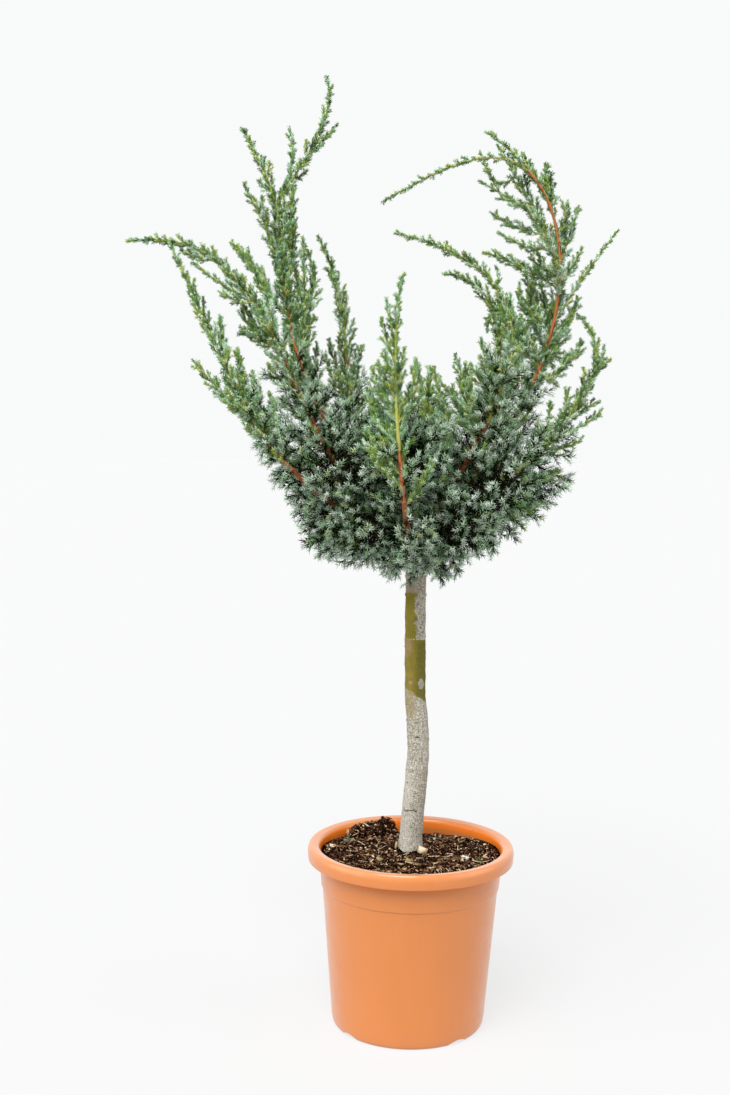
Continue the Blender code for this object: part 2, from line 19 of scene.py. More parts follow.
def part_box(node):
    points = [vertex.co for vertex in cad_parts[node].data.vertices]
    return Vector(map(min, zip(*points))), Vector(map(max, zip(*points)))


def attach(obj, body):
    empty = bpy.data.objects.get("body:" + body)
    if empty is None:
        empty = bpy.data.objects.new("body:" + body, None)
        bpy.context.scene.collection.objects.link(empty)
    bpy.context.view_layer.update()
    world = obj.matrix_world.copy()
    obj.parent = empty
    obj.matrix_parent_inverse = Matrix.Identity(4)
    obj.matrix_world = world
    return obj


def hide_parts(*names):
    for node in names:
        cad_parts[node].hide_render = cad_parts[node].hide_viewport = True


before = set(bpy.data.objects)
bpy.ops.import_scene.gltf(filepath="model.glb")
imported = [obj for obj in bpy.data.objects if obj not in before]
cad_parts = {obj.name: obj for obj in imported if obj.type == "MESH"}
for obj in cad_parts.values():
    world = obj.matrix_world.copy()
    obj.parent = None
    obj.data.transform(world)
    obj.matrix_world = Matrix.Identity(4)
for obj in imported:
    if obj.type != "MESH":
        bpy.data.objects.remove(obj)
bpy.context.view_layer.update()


# %% [markdown]
# The camera stands where the photographer stood, about 1.8 m away and a little above the middle of the
# plant. It looks slightly down and leans by less than a degree. The lens is shifted rather than tilted for
# the rest of the framing, because a shift keeps the trunk and the pot's walls upright in the picture.

# %% Camera
CAMERA_PLACE = (-0.0618, -1.8445, 0.8145)
CAMERA_PITCH = math.radians(10.376)
CAMERA_ROLL = math.radians(0.771)
CAMERA_LENS = 49.17
CAMERA_SHIFT = 0.1027

camera = bpy.data.objects.new("camera", bpy.data.cameras.new("camera"))
bpy.context.scene.collection.objects.link(camera)
camera.data.lens = CAMERA_LENS
camera.data.shift_y = CAMERA_SHIFT
camera.matrix_world = (
    Matrix.Translation(CAMERA_PLACE)
    @ Matrix.Rotation(math.pi / 2 - CAMERA_PITCH, 4, "X")
    @ Matrix.Rotation(CAMERA_ROLL, 4, "Z")
)
bpy.context.scene.camera = camera
print("camera", round(CAMERA_LENS, 1), "mm, shifted", CAMERA_SHIFT)


# %% [markdown]
# Colours are easiest to name as a screen shows them, on a scale of 255. Shaders work in linear light, so
# one small function turns the first kind into the second. The studio here is brighter than white paper, so
# every colour is also taken down by one share. The view transform is Standard, which shows a white studio
# as white.

# %% Colour
STUDIO_SHARE = 0.74


def linear(red, green, blue):
    """A colour given as a screen shows it in this studio, as the base colour that a shader needs."""
    shares = np.array((red, green, blue)) / 255
    light = np.where(shares <= 0.04045, shares / 12.92, ((shares + 0.055) / 1.055) ** 2.4)
    return (*(light * STUDIO_SHARE).tolist(), 1.0)


bpy.context.scene.view_settings.view_transform = "Standard"
print("mid grey in linear light:", round(linear(128, 128, 128)[0], 3))


# %% [markdown]
# Finishes and studio light are small node trees. Three helpers write them: one gives a socket a value or a
# link, one makes a node with its input sockets named, and one does a sum.

# %% Node helpers
def join(tree, value, socket):
    """Sets an input socket to a value, or links another socket to it."""
    if isinstance(value, bpy.types.NodeSocket):
        tree.links.new(value, socket)
    else:
        socket.default_value = value


def add_node(tree, kind, **inputs):
    """A node of a kind, with its input sockets set or linked by name."""
    made = tree.nodes.new(kind)
    for name, value in inputs.items():
        join(tree, value, made.inputs[name.replace("_", " ")])
    return made


def sum_of(tree, operation, *values):
    """The result of one sum on sockets or numbers."""
    made = tree.nodes.new("ShaderNodeMath")
    made.operation = operation
    for value, socket in zip(values, made.inputs):
        join(tree, value, socket)
    return made.outputs[0]


def plain_material(name, colour, roughness, specular=0.5):
    """A Principled material with one colour."""
    made = bpy.data.materials.new(name)
    made.use_nodes = True
    shader = made.node_tree.nodes["Principled BSDF"]
    shader.inputs["Base Color"].default_value = colour
    shader.inputs["Roughness"].default_value = roughness
    shader.inputs["Specular IOR Level"].default_value = specular
    return made


# %% [markdown]
# A white studio lights a plant from all round, and one large window above and to the left of the camera
# gives it form. An even white sky does the first, and a sun with a wide disc the second. Two weaker and
# lower ones stand at the sides, and these make both edges of the pot pale. The camera sees the sky a little
# brighter than it shines on the plant, as a lit wall behind a set, and polished surfaces mirror it brighter
# still, as they would a softbox. The plant stands on a light table: most of the floor's white comes from
# within and the rest is lit from above, so that it is as white as the wall and shadows on it are faint.

# %% Studio
FLOOR_SIZE = 30.0
FLOOR_COLOUR = (0.150, 0.150, 0.151, 1)
FLOOR_GLOW = 0.718
SKY_LIGHT = 0.50
SKY_SEEN = 0.955
SKY_MIRRORED = 1.4
# Strength, width in degrees and where each comes from.
SUNS = {
    "window": (3.6, 40, (-0.26, -0.72, 1.0)),
    "left side": (1.25, 50, (-1.0, -0.30, 0.28)),
    "right side": (1.05, 50, (1.0, -0.30, 0.28)),
}

sky = bpy.data.worlds.new("studio")
bpy.context.scene.world = sky
sky.use_nodes = True
backdrop = sky.node_tree.nodes["Background"]
backdrop.inputs["Color"].default_value = (0.988, 1.0, 0.998, 1)
rays = sky.node_tree.nodes.new("ShaderNodeLightPath")
strength = SKY_LIGHT
for label, level in {"Is Camera Ray": SKY_SEEN, "Is Glossy Ray": SKY_MIRRORED}.items():
    strength = sum_of(sky.node_tree, "MULTIPLY_ADD", rays.outputs[label], level - SKY_LIGHT, strength)
sky.node_tree.links.new(strength, backdrop.inputs["Strength"])

for name, (energy, width, place) in SUNS.items():
    sun = bpy.data.objects.new(name, bpy.data.lights.new(name, "SUN"))
    bpy.context.scene.collection.objects.link(sun)
    sun.data.energy = energy
    sun.data.angle = math.radians(width)
    sun.rotation_euler = Vector(place).to_track_quat("Z", "Y").to_euler()

ground = bmesh.new()
bmesh.ops.create_grid(ground, x_segments=1, y_segments=1, size=FLOOR_SIZE / 2)
floor = bpy.data.objects.new("floor", bpy.data.meshes.new("floor"))
ground.to_mesh(floor.data)
ground.free()
bpy.context.scene.collection.objects.link(floor)
table = plain_material("light table", FLOOR_COLOUR, 1.0, 0.0)
table_shader = table.node_tree.nodes["Principled BSDF"]
table_shader.inputs["Emission Color"].default_value = (0.998, 1.0, 1.0, 1)
table_shader.inputs["Emission Strength"].default_value = FLOOR_GLOW
floor.data.materials.append(table)
print("studio: sky", SKY_LIGHT, "and", len(SUNS), "suns")


# %% [markdown]
# Most finishes here are a base colour with soft clouds of a second colour, and small flecks of a third.
# Both effects serve pot, bark and compost, so each is a node group with named sockets. The groups only give
# masks and heights. The shader itself stays in each material, where its plain values are easy to find.

# %% Masks and finishes
def new_group(name, **inputs):
    """An empty group that gives one mask. A vector input is marked by None, and a number by its default."""
    group = bpy.data.node_groups.new(name, "ShaderNodeTree")
    for label, default in inputs.items():
        kind = "NodeSocketVector" if default is None else "NodeSocketFloat"
        socket = group.interface.new_socket(label, in_out="INPUT", socket_type=kind)
        if default is not None:
            socket.default_value = default
    group.interface.new_socket("Mask", in_out="OUTPUT", socket_type="NodeSocketFloat")
    given = group.nodes.new("NodeGroupInput").outputs
    return group, given, group.nodes.new("NodeGroupOutput").inputs["Mask"]


def clouds_group():
    """A soft mask between 0 and 1 from noise, wider or narrower by its contrast."""
    group, given, mask = new_group("clouds", Vector=None, Scale=20.0, Contrast=3.0, Detail=5.0)
    field = add_node(group, "ShaderNodeTexNoise", Vector=given["Vector"], Scale=given["Scale"],
                     Detail=given["Detail"], Roughness=0.6)
    centred = sum_of(group, "SUBTRACT", field.outputs["Fac"], 0.5)
    spread = sum_of(group, "MULTIPLY_ADD", centred, given["Contrast"], 0.5)
    spread.node.use_clamp = True
    group.links.new(spread, mask)
    return group


def flecks_group():
    """A mask of small ragged dots: cells whose middle is near, where a second noise allows them."""
    group, given, mask = new_group("flecks", Vector=None, Scale=300.0, Reach=0.3, Share=0.5)
    cells = add_node(group, "ShaderNodeTexVoronoi", Vector=given["Vector"], Scale=given["Scale"])
    third = sum_of(group, "MULTIPLY", given["Scale"], 0.37)
    field = add_node(group, "ShaderNodeTexNoise", Vector=given["Vector"], Scale=third, Detail=2.0,
                     Roughness=0.5)
    near = sum_of(group, "LESS_THAN", cells.outputs["Distance"], given["Reach"])
    allowed = sum_of(group, "LESS_THAN", field.outputs["Fac"], given["Share"])
    group.links.new(sum_of(group, "MULTIPLY", near, allowed), mask)
    return group


GROUPS = {"clouds": clouds_group(), "flecks": flecks_group()}


class Finish:
    """A material under construction: a Principled shader, object coordinates and a running base colour."""

    def __init__(self, name, colour, roughness, specular=0.5):
        self.start = linear(*colour)
        self.material = plain_material(name, self.start, roughness, specular)
        self.tree = self.material.node_tree
        self.shader = self.tree.nodes["Principled BSDF"]
        self.place = self.tree.nodes.new("ShaderNodeTexCoord").outputs["Object"]
        self.colour = None

    def axis(self, name):
        """One of the object coordinates."""
        return add_node(self.tree, "ShaderNodeSeparateXYZ", Vector=self.place).outputs[name]

    def stretched(self, x, y, z):
        """Object coordinates scaled along each axis."""
        return add_node(self.tree, "ShaderNodeMapping", Vector=self.place, Scale=(x, y, z)).outputs["Vector"]

    def mask(self, kind, **values):
        """The mask of a shared group with this finish's own values."""
        used = self.tree.nodes.new("ShaderNodeGroup")
        used.node_tree = GROUPS[kind]
        for name, value in values.items():
            join(self.tree, value, used.inputs[name])
        return used.outputs["Mask"]

    def clouds(self, scale, contrast, place=None, detail=5.0):
        return self.mask("clouds", Vector=place or self.place, Scale=scale, Contrast=contrast, Detail=detail)

    def flecks(self, scale, reach, share, place=None):
        return self.mask("flecks", Vector=place or self.place, Scale=scale, Reach=reach, Share=share)

    def maths(self, operation, *values):
        return sum_of(self.tree, operation, *values)

    def less(self, mask):
        """The rest that a mask leaves over."""
        return self.maths("SUBTRACT", 1.0, mask)

    def times(self, product, *factors):
        """The product of masks and numbers."""
        for factor in factors:
            product = self.maths("MULTIPLY", product, factor)
        return product

    def distance(self, first, second):
        """How far a point is from where two coordinates are both 0."""
        square = self.maths("MULTIPLY_ADD", first, first, self.times(second, second))
        return self.maths("POWER", square, 0.5)

    def between(self, value, low, high):
        """0 below low, 1 above high and even in between. High under low turns it round."""
        step = add_node(self.tree, "ShaderNodeMapRange", Value=value, From_Min=low, From_Max=high)
        return step.outputs["Result"]

    def spot(self, x, z, size, flat, ragged):
        """A ragged patch round a place on the front. It is flatter than it is wide by a factor."""
        across = self.maths("SUBTRACT", self.axis("X"), x)
        up = self.times(self.maths("SUBTRACT", self.axis("Z"), z), flat)
        away = self.maths("MULTIPLY_ADD", ragged, size, self.distance(up, across))
        return self.between(away, size * 1.6, size * 1.3)

    def tint(self, colour, *masks):
        """Lays a colour over what is there, as far as all its masks let it."""
        mix = self.tree.nodes.new("ShaderNodeMix")
        mix.data_type = "RGBA"
        under, over = (socket for socket in mix.inputs if socket.type == "RGBA")
        join(self.tree, self.colour or self.start, under)
        over.default_value = linear(*colour)
        self.tree.links.new(self.times(*masks), mix.inputs["Factor"])
        self.colour = next(socket for socket in mix.outputs if socket.type == "RGBA")

    def bump(self, height, distance, strength=1.0):
        """Shading relief from a height, over any that is there already."""
        node = add_node(self.tree, "ShaderNodeBump", Strength=strength, Distance=distance, Height=height)
        normal = self.shader.inputs["Normal"]
        if normal.links:
            self.tree.links.new(normal.links[0].from_socket, node.inputs["Normal"])
        self.tree.links.new(node.outputs["Normal"], normal)

    def done(self):
        join(self.tree, self.colour, self.shader.inputs["Base Color"])
        return self.material


print("groups:", ", ".join(GROUPS))


# %% [markdown]
# A piece that is finished goes into the scene by one function. It links the object, rides it on the plant's
# body, and hides the solids of the frame that it stands for.

# %% Hand a piece to the frame
def hand_over(name, data, stands_for=(), smooth=False):
    """An object at the origin for a finished mesh, riding on the plant and standing for some solids."""
    obj = bpy.data.objects.new(name, data)
    bpy.context.scene.collection.objects.link(obj)
    data.name = name
    if smooth:
        data.shade_smooth()
    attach(obj, "root")
    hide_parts(*stands_for)
    data.calc_loop_triangles()
    print(f"{name}: {len(data.loop_triangles)} triangles, stands for {len(stands_for)}")
    return obj


def mesh_of(shape, name, *materials):
    """A mesh with its materials from a bmesh, which is freed."""
    data = bpy.data.meshes.new(name)
    shape.to_mesh(data)
    shape.free()
    for material in materials:
        data.materials.append(material)
    return data


# %% [markdown]
# The pot is moulded in one piece: a tapering wall, a step to a wider collar, and a rim rolled over to the
# outside. It stands on a thin ring. It could be a stack of cones, but a lathe gives all of it at once: one
# profile spun round the axis. Its corners are rounded afterwards by bevelling the rings that the spin made,
# each by its own radius.

# %% Pot shape
POT_STEPS = 160
POT_WALL = 0.0024
POT_FLOOR = 0.0090
UNDERSIDE = 0.0065
FOOT_RING = 0.0030
BASE_RADIUS = 0.0955
FOOT_RADIUS = 0.0994
BODY_RADIUS = 0.1126
BODY_TOP = 0.1838
COLLAR_FOOT = 0.1853
COLLAR_FOOT_RADIUS = 0.1142
COLLAR_RADIUS = 0.1168
RIM_FOOT = 0.2197
MOUTH_RADIUS = 0.1188
MOUTH_HEIGHT = 0.2373
NOTCH_WIDTH = 0.030
NOTCH_HEIGHT = 0.0055
NOTCH_TURNS = [math.radians(39 + 90 * turn) for turn in range(4)]

pot_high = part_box("pot")[1]
pot_radius = pot_high.x
pot_height = pot_high.z
skirt = pot_radius - POT_WALL
# Radius, height and how far the ring there is rounded.
POT_PROFILE = [
    (0, UNDERSIDE, 0), (BASE_RADIUS - FOOT_RING, UNDERSIDE, 0), (BASE_RADIUS - FOOT_RING, 0, 0.0006),
    (BASE_RADIUS, 0, 0.0012), (FOOT_RADIUS - 0.0012, 0.004, 0.0018), (FOOT_RADIUS, 0.012, 0),
    (BODY_RADIUS, BODY_TOP, 0.0003), (COLLAR_FOOT_RADIUS, COLLAR_FOOT, 0.0007), (COLLAR_RADIUS, RIM_FOOT, 0),
    (COLLAR_RADIUS, pot_height - 0.009, 0), (skirt - 0.004, pot_height - 0.0045, 0.001),
    (skirt, pot_height - 0.008, 0.001), (skirt, RIM_FOOT, 0.0004), (pot_radius - 0.0008, RIM_FOOT, 0.0007),
    (pot_radius, pot_height - 0.0068, 0.003), (pot_radius - 0.0026, pot_height, 0.0024),
    (MOUTH_RADIUS, MOUTH_HEIGHT, 0.0012), (MOUTH_RADIUS - 0.003, MOUTH_HEIGHT - 0.004, 0.002),
    (COLLAR_RADIUS - POT_WALL, RIM_FOOT, 0), (COLLAR_FOOT_RADIUS - POT_WALL, COLLAR_FOOT, 0),
    (BODY_RADIUS - POT_WALL, BODY_TOP - 0.002, 0), (FOOT_RADIUS - POT_WALL, 0.014, 0),
    (BASE_RADIUS - POT_WALL, POT_FLOOR, 0), (0, POT_FLOOR, 0),
]


def lathe(profile, steps):
    """A solid of revolution from (radius, height) points, closed at both poles."""
    shape = bmesh.new()
    points = [shape.verts.new((radius, 0, height)) for radius, height in profile]
    edges = [shape.edges.new(pair) for pair in zip(points, points[1:])]
    bmesh.ops.spin(shape, geom=points + edges, axis=(0, 0, 1), angle=math.tau, steps=steps, use_merge=True)
    bmesh.ops.remove_doubles(shape, verts=shape.verts[:], dist=1e-6)
    bmesh.ops.recalc_face_normals(shape, faces=shape.faces[:])
    return shape


def round_ring(shape, radius, height, rounding):
    """Bevels the ring of edges at a radius and height."""
    def on_ring(vert):
        return abs(vert.co.xy.length - radius) < 2e-5 and abs(vert.co.z - height) < 2e-5
    ring = [edge for edge in shape.edges if all(on_ring(vert) for vert in edge.verts)]
    bmesh.ops.bevel(shape, geom=ring, offset=rounding, segments=4, profile=0.5, affect="EDGES", material=-1)


pot_shape = lathe([(radius, height) for radius, height, rounding in POT_PROFILE], POT_STEPS)
for radius, height, rounding in POT_PROFILE:
    if rounding:
        round_ring(pot_shape, radius, height, rounding)
print("pot:", len(pot_shape.faces), "faces, radius", round(pot_radius, 4), "height", round(pot_height, 4))


# %% [markdown]
# Four shallow arches in the foot let water out under the pot. Each is cut by a round bar that lies across
# the wall with most of itself below the ground, so that only the top of its curve bites into the plastic.

# %% Drain notches
def cut_notch(body, turn):
    """Cuts one arched notch in the foot of the pot and removes the cutter."""
    arch = ((NOTCH_WIDTH / 2) ** 2 + NOTCH_HEIGHT ** 2) / (2 * NOTCH_HEIGHT)
    bar = bmesh.new()
    bmesh.ops.create_cone(bar, cap_ends=True, segments=96, radius1=arch, radius2=arch, depth=0.016)
    cutter = bpy.data.objects.new("notch", bpy.data.meshes.new("notch"))
    place = (
        Matrix.Rotation(turn - math.pi / 2, 4, "Z")
        @ Matrix.Translation((FOOT_RADIUS - 0.002, 0, NOTCH_HEIGHT - arch))
        @ Matrix.Rotation(math.pi / 2, 4, "Y")
    )
    bmesh.ops.transform(bar, matrix=place, verts=bar.verts[:])
    bar.to_mesh(cutter.data)
    bar.free()
    bpy.context.scene.collection.objects.link(cutter)
    cut = body.modifiers.new("notch", "BOOLEAN")
    cut.operation = "DIFFERENCE"
    cut.object = cutter
    with bpy.context.temp_override(object=body):
        bpy.ops.object.modifier_apply(modifier=cut.name)
    bpy.data.objects.remove(cutter)


# %% [markdown]
# The plastic is a warm, slightly chalky orange with a satin skin. Handling has dulled it in soft patches, a
# little dry compost sits on the rim and inside, and the moulding left a fine orange peel that the light
# catches. Two bands carry painted shade: the band under the rim's overhang is a deep, saturated orange with
# no coat, and a band of the inside wall by the compost's edge is a darker orange.

# %% Pot finish
def pot_plastic():
    finish = Finish("moulded terracotta plastic", (221, 132, 60), 0.40, 0.3)
    finish.tint((229, 137, 64), finish.clouds(7, 2.2))
    streaks = finish.clouds(60, 2.0, finish.stretched(1, 1, 0.12))
    finish.tint((214, 116, 46), streaks, 0.2)
    dust = finish.clouds(34, 4.5)
    height = finish.axis("Z")
    finish.tint((228, 160, 112), dust, finish.between(height, 0.22, 0.238), 0.2)
    finish.tint((210, 130, 80), dust, finish.between(height, 0.03, 0.0), 0.3)
    wide = finish.distance(finish.axis("X"), finish.axis("Y"))
    # Painted shade: the band in the shadow under the rim's overhang is tinted a deep, saturated orange and
    # loses its coat.
    rim_painted_shade = finish.times(finish.between(height, 0.2080, 0.2190), finish.between(wide, 0.1172, 0.1168))
    finish.tint((255, 132, 26), rim_painted_shade, finish.between(wide, 0.1148, 0.1152))
    # Painted shade: a band of the inside wall by the compost's edge is tinted a darker, deeper orange.
    within = finish.times(finish.between(height, 0.2100, 0.2110), finish.between(wide, 0.1154, 0.1149))
    finish.tint((206, 106, 48), within, 0.4)
    specks = finish.flecks(210, 0.20, 0.30)
    finish.tint((150, 88, 50), specks, finish.between(height, 0.225, 0.238))
    coat = finish.maths("MULTIPLY_ADD", rim_painted_shade, -0.8, 0.8)
    finish.tree.links.new(coat, finish.shader.inputs["Coat Weight"])
    finish.shader.inputs["Coat Roughness"].default_value = 0.26
    finish.tree.links.new(finish.maths("MULTIPLY_ADD", dust, 0.12, 0.34), finish.shader.inputs["Roughness"])
    finish.bump(finish.clouds(900, 1.5), 0.00004, 0.5)
    finish.bump(finish.clouds(26, 1.2), 0.0002, 0.4)
    return finish.done()


pot_data = mesh_of(pot_shape, "pot_shell", pot_plastic())
pot_shell = hand_over("pot_shell", pot_data, ["pot"])
for turn in NOTCH_TURNS:
    cut_notch(pot_shell, turn)
pot_shell.data.shade_smooth()
pot_shell.data.set_sharp_from_angle(angle=math.radians(38))
print("pot with notches:", len(pot_shell.data.polygons), "faces")


# %% [markdown]
# Compost is a rough heap of peat, bark and wood chips. A single bumpy surface would look like clay, and
# chips alone would need to be piled to the floor. So both are used: a mound with coarse relief, and
# thousands of loose bits dropped on it. The height of the mound is one function, which the surface and the
# bits share. It slopes down at the back, where the compost has sunk, and its edge widens with the wall.

# %% Compost mound
GAP = 0.0003
SOIL_EDGE = 0.2280
SOIL_EDGE_BEHIND = 0.2170
SOIL_TOP = 0.2290
# Share of the radius within which the mound is level.
SOIL_LEVEL_TO = 0.35
SOIL_STEPS = 150
SOIL_RINGS = 62
SOIL_LUMP = 0.0026
SOIL_GRIT = 0.0011
CLOD_SUNK = 0.004
soil_radius = COLLAR_RADIUS - POT_WALL - GAP
# Clods left of the trunk and behind it: place, radius and height above the mound.
CLODS = [(-0.031, 0.086, 0.0150, 0.025), (-0.048, 0.082, 0.0150, 0.019), (-0.065, 0.072, 0.0150, 0.019)]


def mound_height(x, y):
    """Height of the compost's surface, lumps and grit included."""
    away = math.hypot(x, y)
    out = away / soil_radius
    behind = max(0.0, y / away) if away else 0.0
    edge = SOIL_EDGE + (SOIL_EDGE_BEHIND - SOIL_EDGE) * behind ** 2
    slope = min(1.0, max(0.0, (out - SOIL_LEVEL_TO) / (1 - SOIL_LEVEL_TO))) ** 1.3
    height = SOIL_TOP + (edge - SOIL_TOP) * slope
    lumps = noise.fractal(Vector((x, y, 0.0)) * 70, 0.9, 2.1, 3)
    grit = noise.noise(Vector((x, y, 3.0)) * 420)
    inside = min(1.0, (1 - out) * 12)
    return height + (lumps * SOIL_LUMP + grit * SOIL_GRIT) * max(inside, 0.0)


def compost_mound():
    foot = [(0, POT_FLOOR + GAP), (BASE_RADIUS - POT_WALL - 0.001, POT_FLOOR + GAP),
            (FOOT_RADIUS - POT_WALL - GAP, 0.0125), (BODY_RADIUS - POT_WALL - GAP, BODY_TOP - 0.002),
            (COLLAR_FOOT_RADIUS - POT_WALL - GAP, COLLAR_FOOT + 0.001)]
    top = [(soil_radius * (1 - ring / SOIL_RINGS), SOIL_EDGE) for ring in range(SOIL_RINGS + 1)]
    shape = lathe(foot + top, SOIL_STEPS)
    for vert in shape.verts:
        if abs(vert.co.z - SOIL_EDGE) < 1e-6:
            vert.co.z = mound_height(vert.co.x, vert.co.y)
            vert.co.xy *= 1 + (vert.co.z - RIM_FOOT) / 0.0136 * 0.0012
    return shape


def peat_finish():
    finish = Finish("dark peat", (30, 12, 4), 0.95, 0.0)
    finish.tint((8, 3, 1), finish.clouds(150, 5.0))
    finish.tint((120, 88, 66), finish.flecks(620, 0.34, 0.44))
    finish.tint((150, 120, 90), finish.flecks(380, 0.22, 0.38))
    finish.bump(finish.clouds(700, 3.0), 0.0008)
    return finish.done()


peat = peat_finish()
mound_data = mesh_of(compost_mound(), "compost_mound", peat)
hand_over("compost_mound", mound_data, ["potting_soil"], True)


# %% [markdown]
# Small things by the thousand are made as one mesh from arrays. A template of a few corners is copied once
# for each bit, turned by its own random rotation and stretched to its own size. The same few lines serve
# for peat crumbs, bark flakes and straw, which differ only in template, size and colour.

# %% Loose bits by arrays
BOX_CORNERS = np.array([(x, y, z) for x in (-1, 1) for y in (-1, 1) for z in (-1, 1)], float) / 2
BOX_FACES = np.array([(0, 1, 3), (0, 3, 2), (4, 6, 7), (4, 7, 5), (0, 4, 5), (0, 5, 1),
                      (2, 3, 7), (2, 7, 6), (0, 2, 6), (0, 6, 4), (1, 5, 7), (1, 7, 3)])
GEM_CORNERS = np.array([(1, 0, 0), (-1, 0, 0), (0, 1, 0), (0, -1, 0), (0, 0, 1), (0, 0, -1)], float) / 2
GEM_FACES = np.array([(0, 2, 4), (2, 1, 4), (1, 3, 4), (3, 0, 4), (2, 0, 5), (1, 2, 5), (3, 1, 5), (0, 3, 5)])


def mesh_from_arrays(name, points, faces, shades, materials):
    """A mesh of same-sided faces from arrays, with a material slot for each face."""
    data = bpy.data.meshes.new(name)
    data.vertices.add(len(points))
    data.vertices.foreach_set("co", np.ascontiguousarray(points, np.float32).ravel())
    data.loops.add(faces.size)
    data.loops.foreach_set("vertex_index", faces.astype(np.int32).ravel())
    data.polygons.add(len(faces))
    data.polygons.foreach_set("loop_start", np.arange(0, faces.size, faces.shape[1], dtype=np.int32))
    data.polygons.foreach_set("material_index", shades.astype(np.int32))
    for material in materials:
        data.materials.append(material)
    data.update(calc_edges=True)
    return data


def random_turns(rng, count):
    """Rotation matrices spread evenly over all turns, from random unit quaternions."""
    q = rng.normal(size=(count, 4))
    w, x, y, z = (q / np.linalg.norm(q, axis=1, keepdims=True)).T
    rows = [
        [1 - 2 * (y * y + z * z), 2 * (x * y - z * w), 2 * (x * z + y * w)],
        [2 * (x * y + z * w), 1 - 2 * (x * x + z * z), 2 * (y * z - x * w)],
        [2 * (x * z - y * w), 2 * (y * z + x * w), 1 - 2 * (x * x + y * y)],
    ]
    return np.array(rows).transpose(2, 0, 1)


def leaning_turns(spins, leans):
    """Rotation matrices that lean a bit about its own Y axis and then turn it about the upright."""
    return np.array([
        np.array(Matrix.Rotation(spin, 3, "Z") @ Matrix.Rotation(lean, 3, "Y"))
        for spin, lean in zip(spins, leans)
    ])


def scatter(rng, corners, faces, places, sizes, turns, ragged):
    """Copies of a template at each place, with ragged corners."""
    count = len(places)
    shapes = corners[None] * (1 + rng.uniform(-ragged, ragged, (count, len(corners), 1)))
    shapes = shapes * sizes[:, None, :]
    points = np.einsum("nij,nkj->nki", turns, shapes) + places[:, None, :]
    index = faces[None] + np.arange(count)[:, None, None] * len(corners)
    return points.reshape(-1, 3), index.reshape(-1, 3)


print("templates:", len(BOX_FACES), "and", len(GEM_FACES), "faces")


# %% [markdown]
# The bits: dark crumbs cover most of the mound, then come bark flakes lying nearly flat, pale chips of wood
# and a few straws. Some chips, a flake that leans on the trunk and two small green sprigs are placed one by
# one.

# %% Crumbs, flakes and chips
CRUMBS = 11000
FLAKES = 1000
STRAWS = 300
CLOD_CRUMBS = 2600
CLOD_FLAKES = 420
CRUMB_SIZES = (0.0011, 0.0036)
STRAW_LENGTHS = (0.006, 0.017)
STRAW_WIDTH = 0.0006
SPRIG_BITS = 10
compost_random = np.random.default_rng(7)
BIT_COLOURS = [(10, 3, 0), (40, 17, 7), (88, 52, 32), (146, 110, 78), (204, 170, 132), (250, 226, 190),
               (96, 142, 120), (88, 104, 50), (240, 234, 220), (176, 158, 108)]
# Single pieces: place, three sizes, turn about the upright, lean and shade.
PLACED = [
    (0.0150, -0.0085, 0.2320, 0.0085, 0.0070, 0.0080, 0.5, 0.4, 5),
    (-0.0986, 0.0140, 0.2290, 0.0110, 0.0050, 0.0035, 0.3, 0.3, 5),
    (0.0681, -0.0290, 0.2295, 0.0085, 0.0050, 0.0035, -0.4, 0.2, 8),
    (-0.0395, -0.0410, 0.2300, 0.0090, 0.0050, 0.0040, 0.9, 0.3, 9),
    (-0.0032, -0.0440, 0.2300, 0.0080, 0.0045, 0.0035, 0.2, 0.2, 9),
    (-0.0760, 0.0770, 0.2270, 0.0120, 0.0100, 0.0080, 0.7, 0.3, 4),
    (-0.0190, 0.0040, 0.2330, 0.0020, 0.0040, 0.0120, 0.1, 0.2, 4),
]
# Place and shade.
SPRIGS = [(-0.0815, 0.0420, 6), (0.0862, -0.0400, 7)]
bit_materials = [plain_material(f"compost bit {k}", linear(*c), 0.9, 0.1) for k, c in enumerate(BIT_COLOURS)]


def on_mound(count, least_out, most_out):
    """Random places on the mound between two distances from its middle."""
    out = np.sqrt(compost_random.uniform(least_out ** 2, most_out ** 2, count))
    turn = compost_random.uniform(0, math.tau, count)
    flat = np.stack([out * np.cos(turn), out * np.sin(turn)], axis=1)
    return np.array([(x, y, mound_height(x, y)) for x, y in flat])


def clod_places(count):
    """Random places on the upper faces of the clods."""
    found = []
    for index in range(count):
        x, y, radius, height = CLODS[index % len(CLODS)]
        way = compost_random.normal(size=3)
        way[2] = abs(way[2])
        way /= np.linalg.norm(way)
        shrink = compost_random.uniform(0.90, 1.16)
        base = (x, y, mound_height(x, y) - 0.003)
        found.append([b + w * r * shrink for b, w, r in zip(base, way, (radius, radius, height))])
    return np.array(found)


